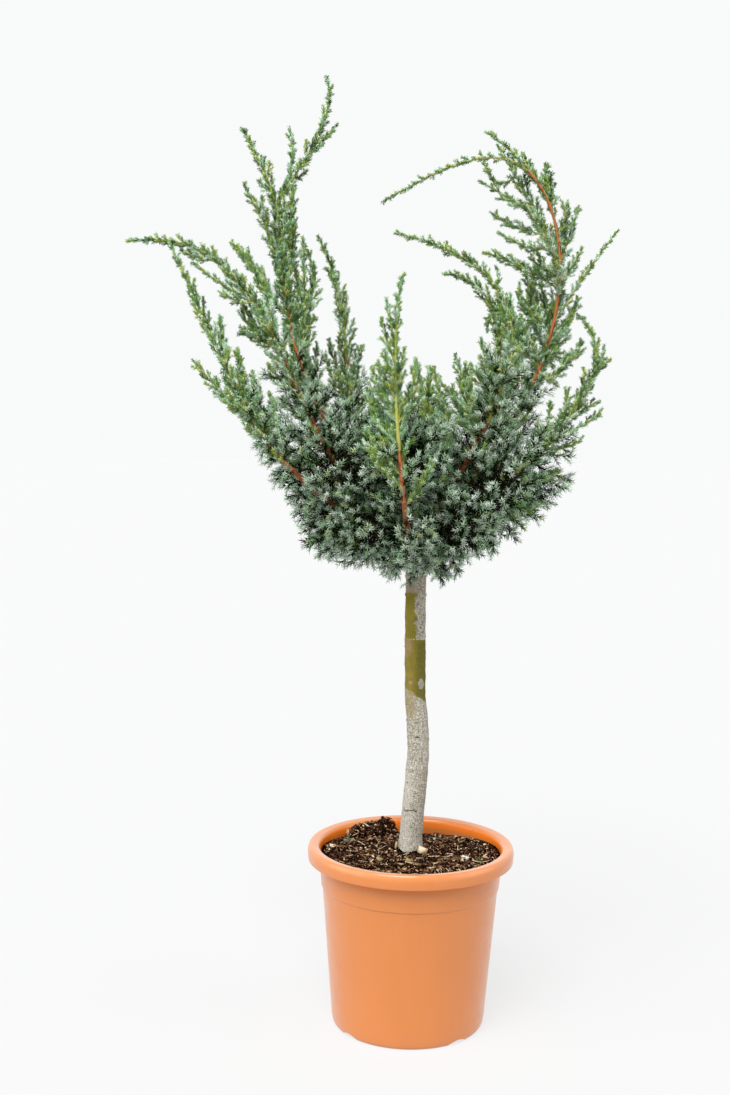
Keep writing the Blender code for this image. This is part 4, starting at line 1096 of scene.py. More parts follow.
# %% Long side shoots
# Name: parent, hundredths of the way along it, pull, tip and longest side shoot, all in millimetres.
LONG_SHOOTS = {
    "crest": ("left_tall", 99, (-93, 8, 1140), (-119, 10, 1172), 20),
    "crest_side": ("crest", 26, (-122, 20, 1096), (-104, 20, 1121), 12),
    "column_1": ("left_tall", 77, (-191, 25, 987), (-193, 19, 1038), 18),
    "column_2": ("left_tall", 73, (-150, 40, 984), (-160, 44, 1042), 20),
    "column_3": ("left_tall", 84, (-154, 27, 1014), (-156, 23, 1051), 14),
    "column_4": ("left_tall", 93, (-197, 29, 1088), (-219, 30, 1117), 20),
    "column_5": ("left_tall", 97, (-151, 43, 1071), (-162, 45, 1121), 18),
    "column_6": ("left_tall", 88, (-196, 16, 1006), (-214, 10, 1051), 18),
    "left_in_1": ("left_tall", 57, (-145, 43, 925), (-156, 49, 963), 26),
    "left_in_2": ("left_tall", 49, (-135, 21, 887), (-143, 13, 928), 30),
    "left_in_3": ("left_tall", 58, (-119, 60, 911), (-139, 60, 979), 26),
    "left_out_1": ("left_tall", 61, (-191, 28, 936), (-232, 24, 984), 26),
    "left_out_2": ("left_arch", 63, (-215, -35, 929), (-258, -27, 973), 14),
    "left_out_3": ("left_arch", 65, (-235, -57, 925), (-267, -63, 953), 12),
    "left_out_4": ("left_arch", 52, (-186, -36, 863), (-216, -32, 877), 20),
    "left_out_5": ("left_arch", 40, (-161, -40, 812), (-182, -44, 838), 20),
    "left_out_6": ("left_arch", 50, (-180, -29, 883), (-204, -21, 923), 30),
    "left_out_7": ("left_arch", 55, (-182, -27, 953), (-227, -20, 979), 20),
    "left_out_8": ("left_arch", 64, (-218, -63, 906), (-238, -65, 921), 14),
    "left_low_1": ("left_low", 54, (-228, -100, 800), (-264, -104, 842), 24),
    "left_low_2": ("left_low", 50, (-215, -88, 792), (-242, -84, 806), 20),
    "left_low_3": ("left_low", 47, (-206, -81, 791), (-215, -73, 856), 20),
    "left_low_4": ("left_low", 43, (-186, -74, 774), (-199, -61, 830), 24),
    "left_low_5": ("left_low", 39, (-171, -71, 767), (-178, -59, 806), 30),
    "left_low_6": ("left_low", 60, (-212, -54, 824), (-217, -50, 857), 16),
    "left_low_7": ("left_low", 72, (-232, -69, 869), (-237, -60, 894), 14),
    "back_tall_1": ("back_left_tall", 62, (-148, 178, 958), (-150, 172, 1006), 22),
    "back_tall_2": ("back_left_tall", 56, (-176, 186, 930), (-184, 180, 972), 22),
    "back_left_1": ("back_left", 82, (-106, 99, 949), (-118, 99, 960), 8),
    "back_left_2": ("back_left", 45, (-112, 97, 819), (-118, 97, 853), 18),
    "back_left_3": ("back_left", 50, (-79, 105, 841), (-72, 109, 866), 18),
    "front_1": ("front", 79, (-40, -136, 884), (-43, -138, 909), 10),
    "front_2": ("front", 64, (-28, -137, 827), (-22, -133, 857), 16),
    "front_3": ("front", 66, (-41, -148, 834), (-45, -152, 855), 16),
    "front_4": ("front", 60, (-51, -133, 803), (-59, -125, 837), 22),
    "front_5": ("front", 59, (-7, -146, 803), (-11, -146, 846), 22),
    "right_fan": ("right_tall", 86, (138, 37, 1033), (88, 33, 1102), 24),
    "fan_1": ("right_fan", 41, (96, 27, 1045), (66, 18, 1058), 14),
    "fan_2": ("right_fan", 74, (84, 32, 1043), (74, 30, 1081), 10),
    "fan_3": ("right_fan", 27, (112, 46, 1003), (83, 50, 1026), 16),
    "fan_4": ("right_fan", 16, (119, 29, 979), (92, 21, 1000), 14),
    "wing_1": ("right_tall", 80, (119, 33, 965), (74, 24, 976), 24),
    "wing_2": ("right_tall", 78, (153, -41, 1030), (83, -35, 1031), 16),
    "arch_out_1": ("right_arch", 5, (152, 38, 1057), (148, 42, 1083), 14),
    "arch_out_2": ("right_arch", 3, (158, 50, 1046), (156, 50, 1071), 12),
    "out_1": ("right_tall", 88, (185, 42, 1012), (191, 42, 1034), 16),
    "out_2": ("right_tall", 96, (180, 29, 1024), (165, 23, 1038), 12),
    "out_3": ("right_tall", 81, (191, 38, 970), (196, 34, 984), 14),
    "out_4": ("right_tall", 63, (192, 32, 832), (197, 23, 872), 22),
    "out_5": ("right_tall", 57, (181, 53, 880), (195, 62, 923), 24),
    "out_6": ("right_tall", 57, (160, 21, 808), (196, 10, 873), 22),
    "out_7": ("right_tall", 71, (216, 27, 979), (236, 15, 1003), 8),
    "in_1": ("right_tall", 63, (143, 55, 906), (127, 63, 968), 30),
    "in_2": ("right_tall", 57, (122, 42, 889), (104, 42, 921), 30),
    "inner_1": ("right_inner", 29, (61, -55, 798), (39, -46, 852), 30),
    "inner_2": ("right_inner", 35, (80, -74, 822), (67, -74, 872), 26),
    "inner_3": ("right_inner", 21, (30, -35, 773), (15, -23, 839), 30),
    "inner_4": ("right_inner", 18, (8, -33, 774), (-7, -25, 849), 28),
    "inner_5": ("right_mid", 27, (59, 94, 810), (62, 102, 846), 30),
    "inner_6": ("right_inner", 56, (91, -59, 934), (75, -50, 881), 20),
    "low_1": ("right_low", 49, (181, -22, 795), (174, -22, 817), 16),
    "low_2": ("right_low", 57, (199, -32, 818), (193, -36, 840), 14),
    "low_3": ("right_low", 49, (207, -28, 771), (218, -32, 792), 12),
    "low_4": ("right_low", 43, (185, -25, 741), (197, -29, 759), 14),
    "low_5": ("right_low", 42, (160, -12, 772), (157, -8, 801), 18),
    "low_6": ("right_low", 71, (216, -33, 845), (225, -35, 850), 7),
    "left_in_4": ("left_tall", 40, (-130, 43, 828), (-127, 51, 865), 22),
    "left_out_9": ("left_arch", 54, (-205, -38, 872), (-214, -34, 903), 18),
    "back_left_4": ("back_left", 47, (-112, 98, 847), (-112, 98, 874), 16),
    "front_6": ("front", 53, (-53, -129, 776), (-65, -117, 812), 24),
    "fan_5": ("right_fan", 65, (129, 42, 1062), (131, 46, 1083), 10),
    "arch_side": ("right_arch", 13, (116, 32, 1092), (74, 36, 1117), 12),
    "arch_side_2": ("right_arch", 7, (146, 42, 1061), (152, 50, 1084), 12),
    "wing_3": ("right_tall", 82, (143, 50, 966), (132, 54, 973), 14),
    "in_3": ("right_tall", 66, (134, 53, 898), (119, 59, 932), 20),
    "in_4": ("right_tall", 58, (124, 30, 855), (107, 22, 884), 20),
    "inner_7": ("right_inner", 31, (52, -69, 799), (44, -69, 829), 22),
    "low_7": ("right_low", 72, (219, -31, 852), (217, -31, 867), 6),
    "low_8": ("right_low", 54, (206, -24, 798), (216, -24, 801), 10),
    "low_9": ("right_low", 33, (164, -12, 702), (170, -12, 720), 20),
    "out_8": ("right_tall", 92, (179, 46, 1018), (176, 50, 1037), 12),
    "in_5": ("right_tall", 67, (157, 56, 909), (150, 64, 942), 22),
    "in_6": ("right_tall", 63, (152, 32, 882), (140, 23, 914), 22),
    "inner_8": ("right_inner", 29, (37, -66, 790), (36, -66, 818), 24),
    "front_7": ("front", 53, (-45, -129, 762), (-56, -117, 797), 24),
    "fan_6": ("right_tall", 81, (150, 44, 960), (140, 44, 981), 14),
    "inner_10": ("right_inner", 33, (15, -72, 817), (22, -72, 827), 14),
    "out_9": ("right_tall", 65, (196, 44, 901), (193, 44, 927), 16),
    "in_8": ("right_tall", 66, (123, 44, 914), (121, 44, 943), 14),
    "front_9": ("front", 43, (-42, -150, 721), (-62, -154, 746), 22),
    "front_10": ("front", 39, (0, -147, 703), (10, -151, 736), 20),
    "front_11": ("front", 47, (-50, -146, 736), (-64, -146, 768), 24),
    "front_12": ("front", 65, (-48, -142, 824), (-52, -142, 843), 14),
    "column_7": ("left_tall", 69, (-169, 40, 972), (-168, 44, 1036), 20),
    "column_8": ("left_tall", 66, (-158, 31, 958), (-158, 29, 1017), 20),
    "column_9": ("left_tall", 70, (-179, 38, 976), (-180, 40, 1047), 18),
    "column_10": ("left_tall", 75, (-160, 27, 995), (-169, 22, 1045), 16),
    "left_out_10": ("left_arch", 78, (-266, -51, 957), (-283, -51, 967), 14),
    "left_out_11": ("left_arch", 53, (-204, -37, 883), (-211, -33, 909), 16),
    "left_in_6": ("left_tall", 46, (-184, 32, 845), (-190, 32, 857), 14),
    "left_in_5": ("left_tall", 33, (-170, 23, 777), (-168, 19, 801), 20),
    "back_left_5": ("back_left", 37, (-70, 91, 794), (-66, 91, 807), 20),
    "front_8": ("front", 73, (-47, -137, 875), (-49, -137, 890), 10),
    "inner_9": ("right_inner", 39, (61, -78, 830), (55, -78, 844), 18),
    "in_7": ("right_tall", 37, (135, 21, 775), (139, 12, 797), 18),
}
for name, (parent, hundredths, pull, tip, reach) in LONG_SHOOTS.items():
    curves[name] = [bezier(curves[parent], hundredths / 100), metres(pull), metres(tip)]
print(len(LONG_SHOOTS), "long side shoots on", len(LEADERS) + len(SKIRTS) + 1, "leaders")


# %% [markdown]
# Everything finer is a cord: a thin twig on a short curve through three points, clad in needles. There are
# thousands, so they are only noted down while they grow, as rows of numbers, and all of them are turned
# into meshes at the end by array arithmetic. The shade is dealt out here too, one for each spray.

# %% Notes of what grows
SHADES = [
    "bloom", "glaucous", "blue_green", "deep_green", "mid_green", "fresh_green", "yellow_green", "dark_green",
]
SHADE_CHANCES = {
    "dense": (0.32, 0.31, 0.19, 0.09, 0.06, 0.03, 0.00, 0.00),
    # Inside a mass most cords get the old green: old needles are darker, and its near black is painted shade.
    "dense_inside": (0.02, 0.08, 0.20, 0.58, 0.05, 0.02, 0.00, 0.05),
    "middle": (0.14, 0.24, 0.13, 0.00, 0.20, 0.13, 0.03, 0.13),
    "top": (0.09, 0.18, 0.08, 0.00, 0.21, 0.23, 0.10, 0.11),
    "front": (0.11, 0.19, 0.10, 0.00, 0.27, 0.23, 0.06, 0.04),
}
# Needle length, distance between whorls, how far the needles stand off the cord, and width.
STAR_NEEDLES = (0.0056, 0.0022, math.radians(62), 0.0014)
MIXED_NEEDLES = (0.0042, 0.0021, math.radians(54), 0.0016)
SCALE_NEEDLES = (0.0029, 0.0018, math.radians(58), 0.0016)
NEEDLES = {"dense": STAR_NEEDLES, "middle": MIXED_NEEDLES, "top": SCALE_NEEDLES, "front": SCALE_NEEDLES}
STEM_DARK, STEM_ORANGE, STEM_YELLOW, STEM_GREEN, STEM_RED = range(5)
UP = Vector((0, 0, 1))
BRANCH_RADIUS = 0.0010
CLAD_RADIUS = 0.0009
SHOOT_RADIUS = 0.0007
CORD_RADIUS = 0.0006
cords = []


def note_cord(start, way, length, lift, radius, stem, shade, needles, clad=0.0):
    """Notes a cord that sets off one way and bends by its lift. Needles begin at a clad share of it."""
    bend = start + way * length * 0.5
    tip = start + (way + lift).normalized() * length
    cords.append((*start, *bend, *tip, radius, stem, shade, *needles, clad))
    return start, bend, tip


def on_cord(cord, share):
    """Point and direction at a share of a noted cord."""
    start, bend, tip = cord
    low, high = start.lerp(bend, share), bend.lerp(tip, share)
    return low.lerp(high, share), (high - low).normalized()


def deal_shade(dice, zone):
    return dice.choices(range(len(SHADES)), SHADE_CHANCES[zone])[0]


print("shades:", ", ".join(SHADES))


# %% [markdown]
# The loose shoots: side shoots stand along every curve, long at its foot and no more than nubs near its
# tip, so that each plume ends in a thin tail. Along a side shoot stand short cords, close together and bent
# forward, and these make it as plump as a rope. Their needles are short and lie close. All tips are lifted
# to the light.

# %% Loose shoots
SHOOT_SPACING = 0.0052
CORD_SPACING = 0.0024
CORD_LENGTHS = (0.0038, 0.0088)
FIRST_CORD = 0.0035
NUB = 0.0050


def grow_side_shoot(dice, point, way, along, length, zone):
    """One side shoot with cords on all its sides."""
    shade = deal_shade(dice, zone)
    lift = UP * dice.uniform(0.05, 0.30) + along * dice.uniform(0.25, 0.55)
    stem = STEM_YELLOW if dice.random() < 0.3 else STEM_GREEN
    shoot = note_cord(point, way, length, lift, SHOOT_RADIUS, stem, shade, NEEDLES[zone], 0.05)
    turn = dice.uniform(0, math.tau)
    place = FIRST_CORD
    longest = min(CORD_LENGTHS[1], max(CORD_LENGTHS[0], length * 0.38))
    while place < length - 0.002:
        share = place / length
        at, heading = on_cord(shoot, share)
        turn += GOLDEN_TURN
        reach = max(CORD_LENGTHS[0], longest * (1 - 0.6 * share)) * dice.uniform(0.75, 1.25)
        side = turned(heading, turn + dice.uniform(-0.5, 0.5), SHOOT_ANGLE * dice.uniform(0.9, 1.8))
        bent = UP * dice.uniform(0.0, 0.4) + heading * dice.uniform(0.0, 0.45)
        own = shade if dice.random() < 0.25 else deal_shade(dice, zone)
        note_cord(at, side, reach, bent, CORD_RADIUS, STEM_GREEN, own, NEEDLES[zone])
        place += CORD_SPACING * dice.uniform(0.8, 1.2)


def grow_along(dice, path, longest, zones, open_front):
    """Side shoots along a path, shorter towards its tip, with none in front of an open stretch."""
    ways = directions(path)
    steps = [(b - a).length for a, b in zip(path, path[1:])]
    whole = sum(steps)
    turn = dice.uniform(0, math.tau)
    along = SHOOT_SPACING * 0.6
    while along < whole - NUB:
        index, into = 0, along
        while into > steps[index]:
            into -= steps[index]
            index += 1
        point = path[index].lerp(path[index + 1], into / steps[index])
        share = along / whole
        turn += GOLDEN_TURN
        length = (longest * (1 - share) ** 0.85 + NUB) * dice.uniform(0.50, 1.20)
        way = turned(ways[index], turn, SHOOT_ANGLE * dice.uniform(0.65, 1.35))
        if open_front[0] < share < open_front[1] and way.y < -0.12:
            way.y = -way.y
        zone = zones[0] if dice.random() > share * 1.8 else zones[1]
        grow_side_shoot(dice, point, way, ways[index], length, zone)
        along += SHOOT_SPACING * (1 - 0.45 * share) * dice.uniform(0.8, 1.2)


def clad_stem(dice, path, from_share, zone):
    """Short needles on the stem itself, from a share of it onward."""
    begin = int(len(path) * from_share)
    for low, high in zip(path[begin:-1], path[begin + 1:]):
        way = high - low
        shade = deal_shade(dice, zone)
        note_cord(low, way.normalized(), way.length, UP * 0, CLAD_RADIUS, STEM_GREEN, shade, NEEDLES[zone])


# The longest side shoot of a stem, where that differs from the usual.
LONGEST = {
    "left_tall": 0.035, "left_arch": 0.030, "left_low": 0.032, "back_left": 0.034, "front": 0.030,
    "right_tall": 0.038, "right_arch": 0.010, "right_low": 0.028, "right_inner": 0.030, "right_skirt": 0.030,
    "left_skirt": 0.032,
}
USUAL_LONGEST = 0.036
# The stretch of each stem that has no side shoots in front of it.
OPEN_FRONT = {
    "right_tall": (0.12, 0.97), "right_arch": (0.0, 0.25), "right_fan": (0.0, 0.3), "front": (0.0, 0.75),
    "left_tall": (0.0, 0.30),
}
# How far up its stem the bark is orange, where that differs from the usual share.
ORANGE_TO = {
    "right_tall": 1.0, "left_tall": 0.5, "right_arch": 0.22, "right_low": 0.0, "right_inner": 0.0,
    "front": 0.20, "left_low": 0.20,
}
USUAL_ORANGE = 0.36
SKIRT_FIRST = 0.30
SKIRT_LAST = 0.82
FINE_ROOT = 0.0013
ARCH_ROOT = 0.0018
STEM_END = 0.0006
FINE_STEPS = 20
LEADER_STEPS = 48
stem_first = {**bare_shares, **{name: SKIRT_FIRST for name in SKIRTS}}
stems = []
for name, controls in curves.items():
    dice = random.Random(f"shoots {name}")
    fine = name in LONG_SHOOTS
    last = SKIRT_LAST if name in SKIRTS else 1.0
    path = curve_path(controls, stem_first.get(name, 0.0), last, FINE_STEPS if fine else LEADER_STEPS)
    root = FINE_ROOT if fine else ARCH_ROOT if name == "right_arch" else BOUGH_TIP
    end = ARCH_ROOT if name == "right_tall" else STEM_END
    stems.append((path, root, end, ORANGE_TO.get(name, 0.0 if fine else USUAL_ORANGE)))
    reach = LONG_SHOOTS[name][4] / 1000 if fine else LONGEST.get(name, USUAL_LONGEST)
    zones = ("front", "front") if "front" in name else ("middle", "top")
    if name in SKIRTS:
        zones = ("dense", "middle")
    grow_along(dice, path, reach, zones, OPEN_FRONT.get(name, (1.0, 1.0)))
    clad_stem(dice, path, 0.15 if fine else 0.55, zones[1])
print(len(stems), "stems and", len(cords), "cords so far")


# %% [markdown]
# Low in the crown the shoots are crowded and keep their young foliage: short twigs whose needles stand out
# like a bottle brush and end in a star. Each dense mass sends branches to all sides from its middle, by the
# same even spread as its solid. Old needles fill its inside, darker with age and coloured near black as
# painted shade, and pale young stars sit on the outside. More such branches sit on the outer half of the
# boughs and round the head of the trunk.

# %% Dense lower crown
DENSE_BRANCHES = 34
STAR_SPACING = 0.0045
STAR_REACH = 0.012
STAR_ANGLE = math.radians(50)
END_STAR = 0.007
BRANCH_ANGLE = math.radians(55)
BRANCH_LEAST = 0.012
BRANCH_CUT = 0.002
BRANCH_ROOT = 0.006
LOW_TIP_BACK = 0.003
LOW_TIP_LONGEST = 0.045
HEAD_BRANCHES = 30
HEAD_STRETCH = (0.603, 0.668)
HEAD_RADIUS = 0.0150
# The foot of the crown: its height at the trunk, its rise outward, the steeper rise and where that begins.
CROWN_FLOOR = (0.583, 0.25, 1.2, 0.12)
OLD_NEEDLES = (0.0085, 0.0036, math.radians(64), 0.0016)
# How far along its curve each leader bears star branches.
STARS_TO = {
    "right_inner": 0.46, "left_low": 0.58, "left_arch": 0.46, "right_low": 0.46, "right_tall": 0.50,
    "back": 0.70,
}
# Ends, in millimetres, of the branches that make the crown's lower outline. Each grows from nearer the head.
LOW_TIPS = [
    (-199, -20, 742), (-192, 10, 730), (-181, -10, 721), (-170, 0, 712), (-172, -20, 699), (-165, 15, 689),
    (-155, -10, 680), (-149, 10, 671), (-146, -20, 663), (-145, 0, 650), (-138, 10, 643), (-132, -15, 639),
    (-137, -10, 613), (-124, 5, 611), (-114, -20, 610), (-103, 10, 603), (-92, -15, 603), (-82, 5, 597),
    (-73, -20, 601), (-128, 10, 624), (-60, 0, 600), (-50, -20, 598), (-40, -30, 593), (-33, -20, 586),
    (-24, -35, 590), (-19, -45, 600), (-11, -50, 602), (-5.5, -25, 578), (10, -45, 602), (17, -30, 595),
    (25, -20, 584), (32, -30, 582), (41, -20, 588), (47, -35, 594), (58, -20, 599), (30, 30, 590),
    (-30, 40, 592), (0, 45, 586), (133, 0, 654), (148, 10, 654), (160, -10, 670), (170, 0, 684),
    (177, -10, 693), (185, 5, 696), (160, 15, 682), (-4, -88, 612), (10, -82, 606), (-16, -78, 618),
    (3, -98, 602), (12, -114, 610), (-10, -126, 614), (2, -138, 620), (-16, -142, 628), (10, -140, 632),
    (-4, -76, 598), (22, -85, 608), (-6, -150, 640), (6, -108, 606), (-12, -112, 610), (0, -146, 652),
    (-20, -120, 622),
]


def grow_stars(dice, cord, length, from_share):
    """Bottle brush twigs round the outer part of a branch, and one at its end."""
    turn = dice.uniform(0, math.tau)
    place = length * from_share
    while place < length:
        share = place / length
        # Stars nearer the middle take the inside chances, mostly the near-black old green of painted shade.
        zone = "dense" if dice.random() < share * 1.25 else "dense_inside"
        at, heading = on_cord(cord, share)
        turn += GOLDEN_TURN
        side = turned(heading, turn, STAR_ANGLE * dice.uniform(0.75, 1.2))
        lift = UP * dice.uniform(0.0, 0.35)
        note_cord(at, side, STAR_REACH * dice.uniform(0.7, 1.2), lift, CORD_RADIUS, STEM_GREEN,
                  deal_shade(dice, zone), STAR_NEEDLES, 0.12)
        place += STAR_SPACING * dice.uniform(0.8, 1.2)
    at, heading = on_cord(cord, 1.0)
    shade = deal_shade(dice, "dense")
    note_cord(at, heading, END_STAR, UP * 0.1, CORD_RADIUS, STEM_GREEN, shade, STAR_NEEDLES)


def grow_branch(dice, start, way, length, from_share=0.42, kept_above=True):
    """A branch with old needles inside, near black as painted shade, and stars outside, which can be kept
    above the crown's foot.
    """
    level, rise, steep, beyond = CROWN_FLOOR
    while kept_above and length > BRANCH_LEAST:
        end = start + way * (length + STAR_REACH)
        away = (end - HEAD_AXIS).xy.length
        if end.z > level + rise * away + steep * max(0.0, away - beyond):
            break
        length -= BRANCH_CUT
    # The branch's own old needles are near black: darker with age, and painted shade besides.
    shade = SHADES.index("deep_green")
    cord = note_cord(start, way, length, UP * 0.08, BRANCH_RADIUS, STEM_DARK, shade, OLD_NEEDLES, 0.1)
    grow_stars(dice, cord, length, from_share)


def grow_low_tips():
    """Branches that end at the places of the crown's lower outline."""
    dice = random.Random("low tips")
    for place in LOW_TIPS:
        tip = Vector(metres(place))
        inside = Vector((tip.x * 0.6, tip.y * 0.6 + 0.005, tip.z + 0.040))
        way = (tip - inside).normalized()
        length = min(LOW_TIP_LONGEST, (tip - inside).length)
        for step in range(2):
            start = tip - way * length + Vector([dice.uniform(-0.006, 0.006) for axis in range(3)])
            grow_branch(dice, start, way, length - LOW_TIP_BACK, 0.2, False)


def grow_dense(name):
    """Branches to all sides from the middle of a dense mass."""
    dice = random.Random(f"stars {name}")
    low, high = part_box(name)
    centre = (low + high) / 2
    half = (high - low) / 2
    for index in range(DENSE_BRANCHES):
        rise = 1 - 2 * (index + 0.5) / DENSE_BRANCHES
        turn = index * GOLDEN_TURN + dice.uniform(-0.2, 0.2)
        flat = math.sqrt(1 - rise * rise)
        way = Vector((flat * math.cos(turn), flat * math.sin(turn), rise + 0.12)).normalized()
        edge = min(half[k] / max(abs(way[k]), 0.5) for k in range(3))
        length = max(0.02, edge * dice.uniform(0.88, 1.02) - BRANCH_ROOT - STAR_REACH * 0.9)
        grow_branch(dice, centre + way * BRANCH_ROOT, way, length)


def grow_on_bough(name, bare):
    """Star branches on the outer half of a bough."""
    dice = random.Random(f"bough stars {name}")
    controls = curves[name]
    turn = dice.uniform(0, math.tau)
    first = bare * (0.28 if name == "front" else 0.40)
    last = STARS_TO.get(name, bare * 1.30)
    for share in np.linspace(first, last, 22 if name in STARS_TO or name == "front" else 14):
        at = bezier(controls, share)
        heading = (bezier(controls, share + 0.01) - at).normalized()
        turn += GOLDEN_TURN
        way = turned(heading, turn, BRANCH_ANGLE * dice.uniform(0.85, 1.15))
        if name in ("right_tall", "right_inner"):
            way.y = -abs(way.y)
        grow_branch(dice, at, way, dice.uniform(0.026, 0.040), 0.3)


def grow_on_head():
    """Star branches round the head of the trunk, which hide the graft."""
    dice = random.Random("head")
    head_low, head_high = HEAD_STRETCH
    for index in range(HEAD_BRANCHES):
        share = index / (HEAD_BRANCHES - 1)
        turn = index * GOLDEN_TURN
        out = Vector((math.cos(turn), math.sin(turn), dice.uniform(-0.35, 0.35))).normalized()
        start = HEAD_AXIS + Vector((math.cos(turn), math.sin(turn), 0)) * HEAD_RADIUS
        start.z = head_low + (head_high - head_low) * share
        grow_branch(dice, start, out, dice.uniform(0.030, 0.048), 0.3)


dense_starts = ("foliage_low", "foliage_high", "foliage_top")
dense_names = sorted(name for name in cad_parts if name.startswith(dense_starts))
for name in dense_names:
    grow_dense(name)
for name, bare in bare_shares.items():
    grow_on_bough(name, bare)
grow_on_head()
grow_low_tips()
print(len(dense_names), "dense masses,", len(cords), "cords in all")


# %% [markdown]
# Now the notes become meshes. A cord is a quadratic curve, so its point and direction at any share are one
# formula, worked out for every ring of every cord at once. A long twig is a three sided tube with a bend. A
# short one is hidden by its needles, so a three sided spike is enough.

# %% Twigs from the notes
LONG_TWIG = 0.012
notes = np.array(cords)
starts, bends, tips = notes[:, 0:3], notes[:, 3:6], notes[:, 6:9]
twig_radius, stem_kind, cord_shade = notes[:, 9:12].T
leaf_length, leaf_pitch, leaf_spread, leaf_width, clad_from = notes[:, 12:17].T
cord_length = np.linalg.norm(tips - starts, axis=1)
STEM_COLOURS = [(58, 46, 28), (206, 124, 74), (184, 180, 98), (104, 132, 70), (150, 84, 56)]
stem_materials = [plain_material(f"twig {k}", linear(*c), 0.6, 0.1) for k, c in enumerate(STEM_COLOURS)]


def unit(vectors):
    return vectors / np.maximum(np.linalg.norm(vectors, axis=-1, keepdims=True), 1e-12)


def curve_at(rows, share):
    """Points and directions at shares of the noted cords."""
    t = share[:, None]
    low = starts[rows] * (1 - t) + bends[rows] * t
    high = bends[rows] * (1 - t) + tips[rows] * t
    return low * (1 - t) + high * t, unit(high - low)


def frames_of(ways):
    """Two unit vectors square to each direction and to each other."""
    level = np.where(np.abs(ways[:, 2:]) < 0.9, [[0.0, 0.0, 1.0]], [[0.0, 1.0, 0.0]])
    side = unit(np.cross(ways, level))
    return side, np.cross(side, ways)


def twig_mesh(rows, shares):
    """Cords as three sided tubes through rings at some shares, ending in a point."""
    rings = len(shares)
    points = np.empty((len(rows), rings * 3 + 1, 3))
    for ring, share in enumerate(shares):
        middle, way = curve_at(rows, np.full(len(rows), share))
        side, other = frames_of(way)
        for corner in range(3):
            turn = corner * math.tau / 3
            out = side * math.cos(turn) + other * math.sin(turn)
            points[:, ring * 3 + corner] = middle + out * (twig_radius[rows] * (1 - share * 0.3))[:, None]
    points[:, -1] = tips[rows]
    around = [(0, 1), (1, 2), (2, 0)]
    faces = []
    for ring in range(rings - 1):
        for a, b in around:
            a, b = a + ring * 3, b + ring * 3
            faces += [(b, a, a + 3), (b, a + 3, b + 3)]
    last = rings * 3
    faces += [(b + last - 3, a + last - 3, last) for a, b in around]
    index = np.array(faces)[None] + (np.arange(len(rows)) * (last + 1))[:, None, None]
    return points.reshape(-1, 3), index.reshape(-1, 3), np.repeat(stem_kind[rows], len(faces))


is_long = cord_length >= LONG_TWIG
for name, kind, shares in (("twigs_long", is_long, (0.0, 0.5)), ("twigs_short", ~is_long, (0.0,))):
    twigs = mesh_from_arrays(name, *twig_mesh(np.flatnonzero(kind), shares), stem_materials)
    hand_over(name, twigs)


# %% [markdown]
# The stems of leaders and long shoots are thick enough to be seen, so they get six sides and a run of
# colour: orange brown where they are old, then yellow, then green near the tip. Each change of colour is a
# new slot.

# %% Stems
def stem_mesh():
    """Leaders and long shoots as six sided tapering tubes."""
    dice = random.Random("stem bark")
    points, faces, shades, offset = [], [], [], 0
    for path, low, high, orange_to in stems:
        ways = directions(path)
        side = ways[0].orthogonal().normalized()
        last = len(path) - 1
        for index, (point, way) in enumerate(zip(path, ways)):
            side = (side - way * side.dot(way)).normalized()
            other = way.cross(side)
            radius = low + (high - low) * index / last
            points += [point + (side * math.cos(k) + other * math.sin(k)) * radius
                       for k in np.arange(6) * math.tau / 6]
            share = index / last
            for k in range(6 if index < last else 0):
                kind = STEM_ORANGE if share < orange_to else STEM_YELLOW if share < 0.8 else STEM_GREEN
                if kind == STEM_ORANGE and dice.random() < 0.3:
                    kind = STEM_RED
                a, b = offset + index * 6 + k, offset + index * 6 + (k + 1) % 6
                faces += [(a, b, b + 6), (a, b + 6, a + 6)]
                shades += [kind, kind]
        offset += len(path) * 6
    return np.array([tuple(p) for p in points]), np.array(faces), np.array(shades)


stem_data = mesh_from_arrays("stems", *stem_mesh(), stem_materials)
hand_over("stems", stem_data, (), True)


# %% [markdown]
# A juniper's needle is a tiny awl. Its upper face, towards the tip of the shoot, has a pale bloom, and its
# keeled back is green. So a needle is three faces on four corners: one pale, two green. On star twigs the
# needles stand out and show their pale faces, and on cords they hide them, which is why the two look so
# different. They come in whorls of three, each whorl turned by 60 degrees from the last.

# %% Needles from the notes
SHADE_COLOURS = {
    "bloom": ((196, 232, 194), (268, 284, 264)),
    "glaucous": ((150, 198, 148), (248, 270, 242)),
    "blue_green": ((88, 130, 84), (214, 240, 204)),
    # The old needles are near black: darker with age, and painted shade besides.
    "deep_green": ((3, 11, 2), (18, 38, 14)),
    "mid_green": ((98, 144, 66), (224, 246, 186)),
    "fresh_green": ((132, 170, 70), (236, 250, 178)),
    "yellow_green": ((160, 178, 68), (236, 242, 150)),
    "dark_green": ((44, 78, 34), (124, 160, 98)),
}
MOST_TRIANGLES = 198000
needle_random = np.random.default_rng(11)
whorls = np.maximum(1, np.round(cord_length * (1 - clad_from) / leaf_pitch)).astype(int)
needle_rows = np.repeat(np.arange(len(notes)), whorls * 3)
order = np.arange(len(needle_rows)) - np.repeat(np.cumsum(whorls * 3) - whorls * 3, whorls * 3)
whorl = order // 3
share = clad_from[needle_rows] + (1 - clad_from[needle_rows]) * (whorl + 0.7) / whorls[needle_rows]
share = np.clip(share + needle_random.normal(0, 0.012, len(share)), 0, 1)
turn = (order % 3) * math.tau / 3 + whorl * math.pi / 3
turn = turn + needle_random.normal(0, 0.18, len(order)) + needle_rows
middle, way = curve_at(needle_rows, share)
side, other = frames_of(way)
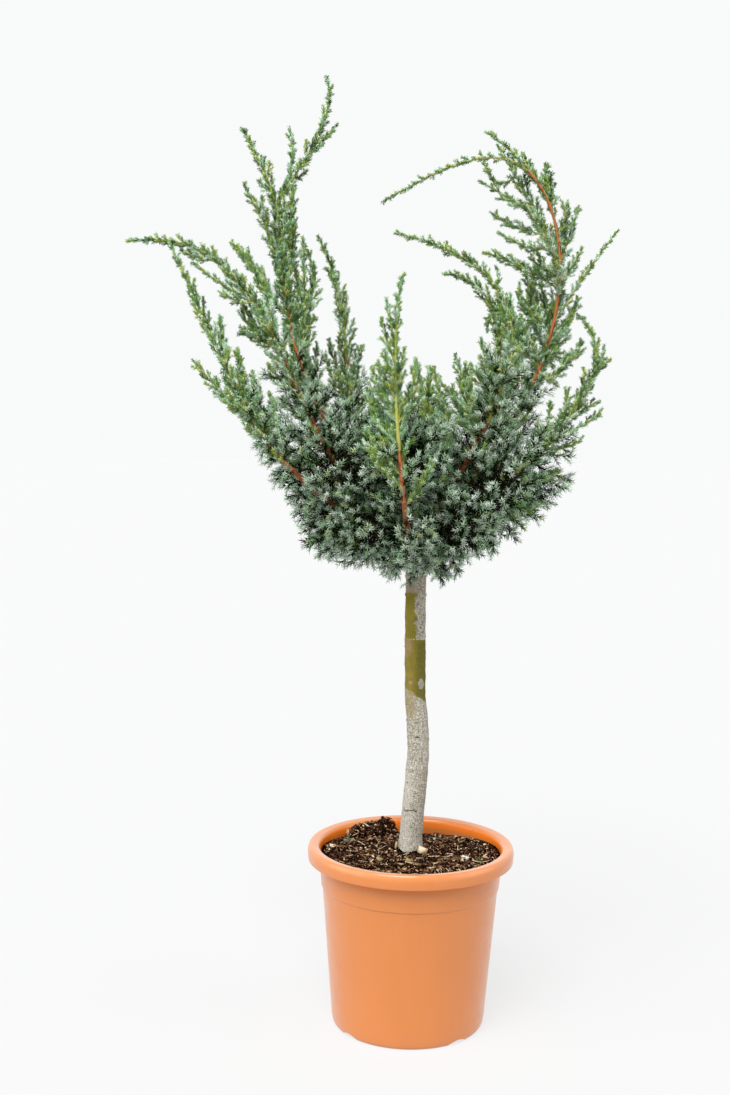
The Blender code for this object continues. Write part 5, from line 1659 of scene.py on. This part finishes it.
out = side * np.cos(turn)[:, None] + other * np.sin(turn)[:, None]
across = np.cross(way, out)
spread = leaf_spread[needle_rows] * (1 - 0.35 * share ** 4) * needle_random.uniform(0.82, 1.15, len(order))
aim = way * np.cos(spread)[:, None] + out * np.sin(spread)[:, None]
keel = out * np.cos(spread)[:, None] - way * np.sin(spread)[:, None]
length = leaf_length[needle_rows] * needle_random.uniform(0.78, 1.15, len(order))
half = leaf_width[needle_rows][:, None] / 2
root = middle + out * (twig_radius[needle_rows] * 0.55)[:, None]
needle_points = np.stack([
    root + across * half + aim * (length * 0.10)[:, None],
    root - across * half + aim * (length * 0.10)[:, None],
    root + keel * half,
    root + aim * length[:, None] - keel * (length * 0.10)[:, None],
], axis=1)
print(len(order), "needles,", round(float(length.mean()) * 1000, 2), "mm long on average")


# %% [markdown]
# Needles of one shade are joined into one piece, or more where that would pass 200,000 triangles. Each piece
# has two plain finishes, green backs and pale faces, and stands for every foliage solid of the frame.

# %% Needle pieces
def needle_piece(name, chosen, materials):
    points = needle_points[chosen].reshape(-1, 3)
    faces = np.array([(0, 1, 3), (1, 2, 3), (2, 0, 3)])[None] + (np.arange(len(chosen)) * 4)[:, None, None]
    shades = np.tile([1, 0, 0], len(chosen))
    return mesh_from_arrays(name, points, faces.reshape(-1, 3), shades, materials)


foliage_nodes = sorted(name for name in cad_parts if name.startswith("foliage_"))
needle_shade = cord_shade[needle_rows].astype(int)
total = 0
for index, shade in enumerate(SHADES):
    back, face = SHADE_COLOURS[shade]
    materials = [
        plain_material(f"{shade} needle {side}", linear(*colour), 0.6, shine * (shade != "deep_green"))
        for side, colour, shine in (("back", back, 0.1), ("face", face, 0.2))
    ]
    chosen = np.flatnonzero(needle_shade == index)
    total += len(chosen) * 3
    pieces = max(1, math.ceil(len(chosen) * 3 / MOST_TRIANGLES))
    for number, share_of in enumerate(np.array_split(chosen, pieces), 1):
        name = f"needles_{shade}_{number}"
        hand_over(name, needle_piece(name, share_of, materials), foliage_nodes)
print("needles:", total, "triangles")
